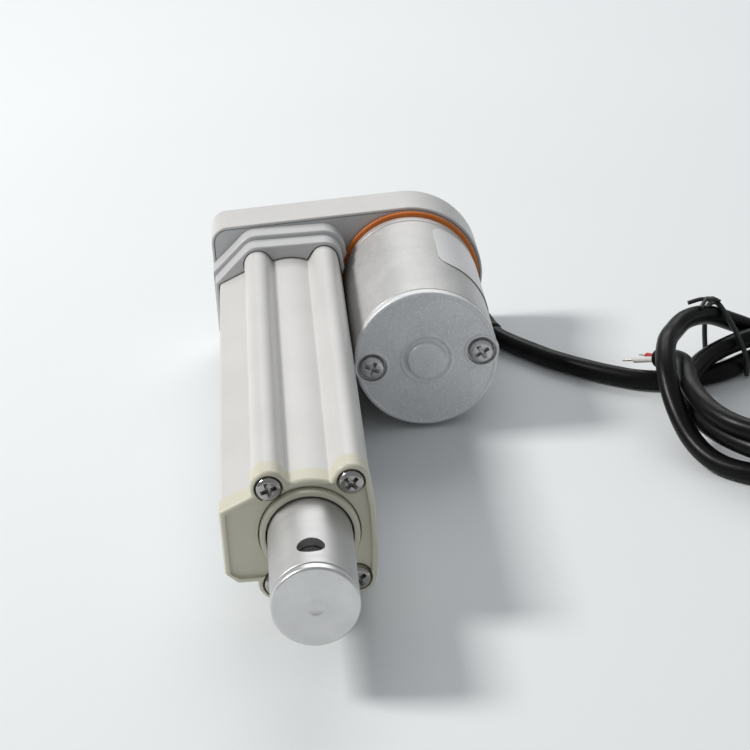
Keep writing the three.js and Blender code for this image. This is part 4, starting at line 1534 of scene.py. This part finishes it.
class Core:
    r = 0.85
    # How far ahead of the cord's end each point of a core is, and how far aside.
    route = ((-1.0, 1.05), (2.4, 1.25), (5.4, 1.8), (8.6, 2.3))
    strand_steps = 24
    strand_step = 0.22
    strand = 0.42
    twist = 0.05
    twist_turn = 1.9
    thinning = 0.007


def make_cores():
    """The two stripped cores that the cord ends in, each with its bare strands twisted."""
    end = CORD_PATH[-1]
    ahead = (CORD_PATH[-1] - CORD_PATH[-3]).normalized()
    aside = ahead.cross(Vector((0, 0, 1))).normalized()
    cores = []
    for i, (side, finish) in enumerate(((-1, core_white), (1, core_red)), 1):
        spots = [
            end + ahead * far * MM + aside * side * apart * MM
            for far, apart in Core.route
        ]
        path = smooth_path(spots, 10)
        core = swept(f"core_end_{i}_body", path, [Core.r] * len(path))
        cores.append(dressed(polished_edges(core), "body", finish, f"core_end_{i}"))
        heading = (path[-1] - path[-3]).normalized()
        steps = range(Core.strand_steps)
        strands = [path[-2] + heading * k * Core.strand_step * MM for k in steps]
        radii = [
            Core.strand + Core.twist * math.sin(k * Core.twist_turn) - Core.thinning * k
            for k in steps
        ]
        strand = swept(f"core_strands_{i}", strands, radii, 14)
        polished_edges(strand)
        strand.data.materials.append(bare_wire)
        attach(strand, "body")
        cores.append(strand)
    return cores


class Tie:
    r = 0.75
    tail_r = 0.6
    # The strap's distances from the coil's middle and heights above the floor.
    strap = (
        (50.6, 0.85),
        (51.3, 5),
        (51.4, 12),
        (50.2, 17.4),
        (46.4, 19.6),
        (41.6, 15.8),
        (37.2, 10.8),
        (34.4, 5.5),
        (34.4, 0.85),
    )
    knot = (46.4, 20.3)
    # The tails' distances outward, along the coil and up from the knot.
    tail = ((-1.2, 0, 0), (0.8, 1.2, 0.9), (-0.7, 3.4, 1.5), (0.8, 5.6, 1.9), (2.6, 9, 1.2))
    aim_y = -22
    aim_x = -34.7


def make_tie():
    """A paper-and-wire twist tie round the coil, its ends twisted together on top."""
    angle = math.atan2(Tie.aim_y, Tie.aim_x)
    aim = Vector((math.cos(angle), math.sin(angle), 0))
    middle = at(Cable.coil_station, Cable.coil_y, FLOOR)
    spots = [middle + (aim * r + Vector((0, 0, z))) * MM for r, z in Tie.strap]
    path = smooth_path(spots, 8)
    strap = swept("cord_tie_body", path, [Tie.r] * len(path), 16)
    dressed(polished_edges(strap), "body", black_plastic, "cord_tie")
    across = Vector((-aim.y, aim.x, 0))
    top = middle + (aim * Tie.knot[0] + Vector((0, 0, Tie.knot[1]))) * MM
    pieces = [strap]
    for side in (1, -1):
        spots = [
            top + (aim * out * side + across * along + Vector((0, 0, up))) * MM
            for out, along, up in Tie.tail
        ]
        path = smooth_path(spots, 8)
        tail = swept(f"tie_tail_{1 if side > 0 else 2}", path, [Tie.tail_r] * len(path), 14)
        polished_edges(tail)
        tail.data.materials.append(black_plastic)
        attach(tail, "body")
        pieces.append(tail)
    return pieces


make_boot()
cord_pieces = [*make_cores(), *make_tie()]
dressed(power_cord, "body", jacket, "cord_lead", "cord_coil")


# ---- what stays as the CAD has it ----

KEPT = {
    "drive_nut": acetal,
    "lead_screw": bright_steel,
    "bearing_outer_ring": bright_steel,
    "bearing_cage": bronze,
    "bearing_inner_ring": bright_steel,
    "rod_seal": black_rubber,
    "output_gear": steel,
    "idler_gear": acetal,
    "idler_pin": bright_steel,
    "motor_pinion": steel,
    "motor_bush_front": bronze,
    "motor_bush_rear": bronze,
    "motor_shaft": bright_steel,
    "armature_core": steel,
    "winding_front": copper,
    "winding_rear": copper,
    "commutator": copper,
    "brush_holder": black_plastic,
    "brush_1": carbon,
    "brush_2": carbon,
    "magnet_1": ferrite,
    "magnet_2": ferrite,
    "switch_striker": acetal,
    "switch_board": board_green,
    "limit_switch_front": black_plastic,
    "limit_switch_rear": black_plastic,
    "switch_plunger_front": core_red,
    "switch_plunger_rear": core_red,
    "steering_diode_1": carbon,
    "steering_diode_2": carbon,
}

for name, finish in KEPT.items():
    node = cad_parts[name]
    node.data.materials.clear()
    node.data.materials.append(finish)


# ---- floor and light ----


FLOOR_HALF = 4.0
WORLD = {"colour": (0.95, 0.975, 1, 1), "strength": 0.36}
KEY = {"place": (-0.25, -1.05, 1.0), "size": (0.34, 0.34), "power": 16.5}
BACK = {"place": (-1.3, 0.2, 1.1), "size": (1.2, 0.8), "power": 7.5}


def make_floor():
    mesh = bpy.data.meshes.new("floor")
    half = FLOOR_HALF
    corners = [(-half, -half, 0), (half, -half, 0), (half, half, 0), (-half, half, 0)]
    mesh.from_pydata(corners, [], [(0, 1, 2, 3)])
    floor = bpy.data.objects.new("floor", mesh)
    SCENE.collection.objects.link(floor)
    made = Finish("floor_card")
    made.colour(
        made.blended(
            made.ranged(made.grain(0.004, 3), 0.3, 0.7, 0, 1),
            (0.80, 0.825, 0.835),
            (0.77, 0.80, 0.815),
        )
    )
    made.roughness(made.ranged(made.grain(0.05, 3), 0.3, 0.7, 0.72, 0.76))
    made.relief(made.grain(0.8, 2), 0.002)
    mesh.materials.append(made.material)


def area_light(name, place, size, power, colour=(1, 1, 1)):
    data = bpy.data.lights.new(name, "AREA")
    data.shape = "RECTANGLE"
    data.size, data.size_y = size
    data.energy = power
    data.color = colour
    lamp = bpy.data.objects.new(name, data)
    lamp.location = place
    lamp.rotation_euler = (-Vector(place)).to_track_quat("-Z", "Y").to_euler()
    SCENE.collection.objects.link(lamp)


def make_light():
    world = bpy.data.worlds.new("studio")
    world.use_nodes = True
    back = world.node_tree.nodes["Background"]
    back.inputs["Color"].default_value = WORLD["colour"]
    back.inputs["Strength"].default_value = WORLD["strength"]
    SCENE.world = world
    area_light("key", **KEY, colour=(1, 0.985, 0.96))
    area_light("back", **BACK)
    SCENE.view_settings.view_transform = "Standard"


make_floor()
make_light()
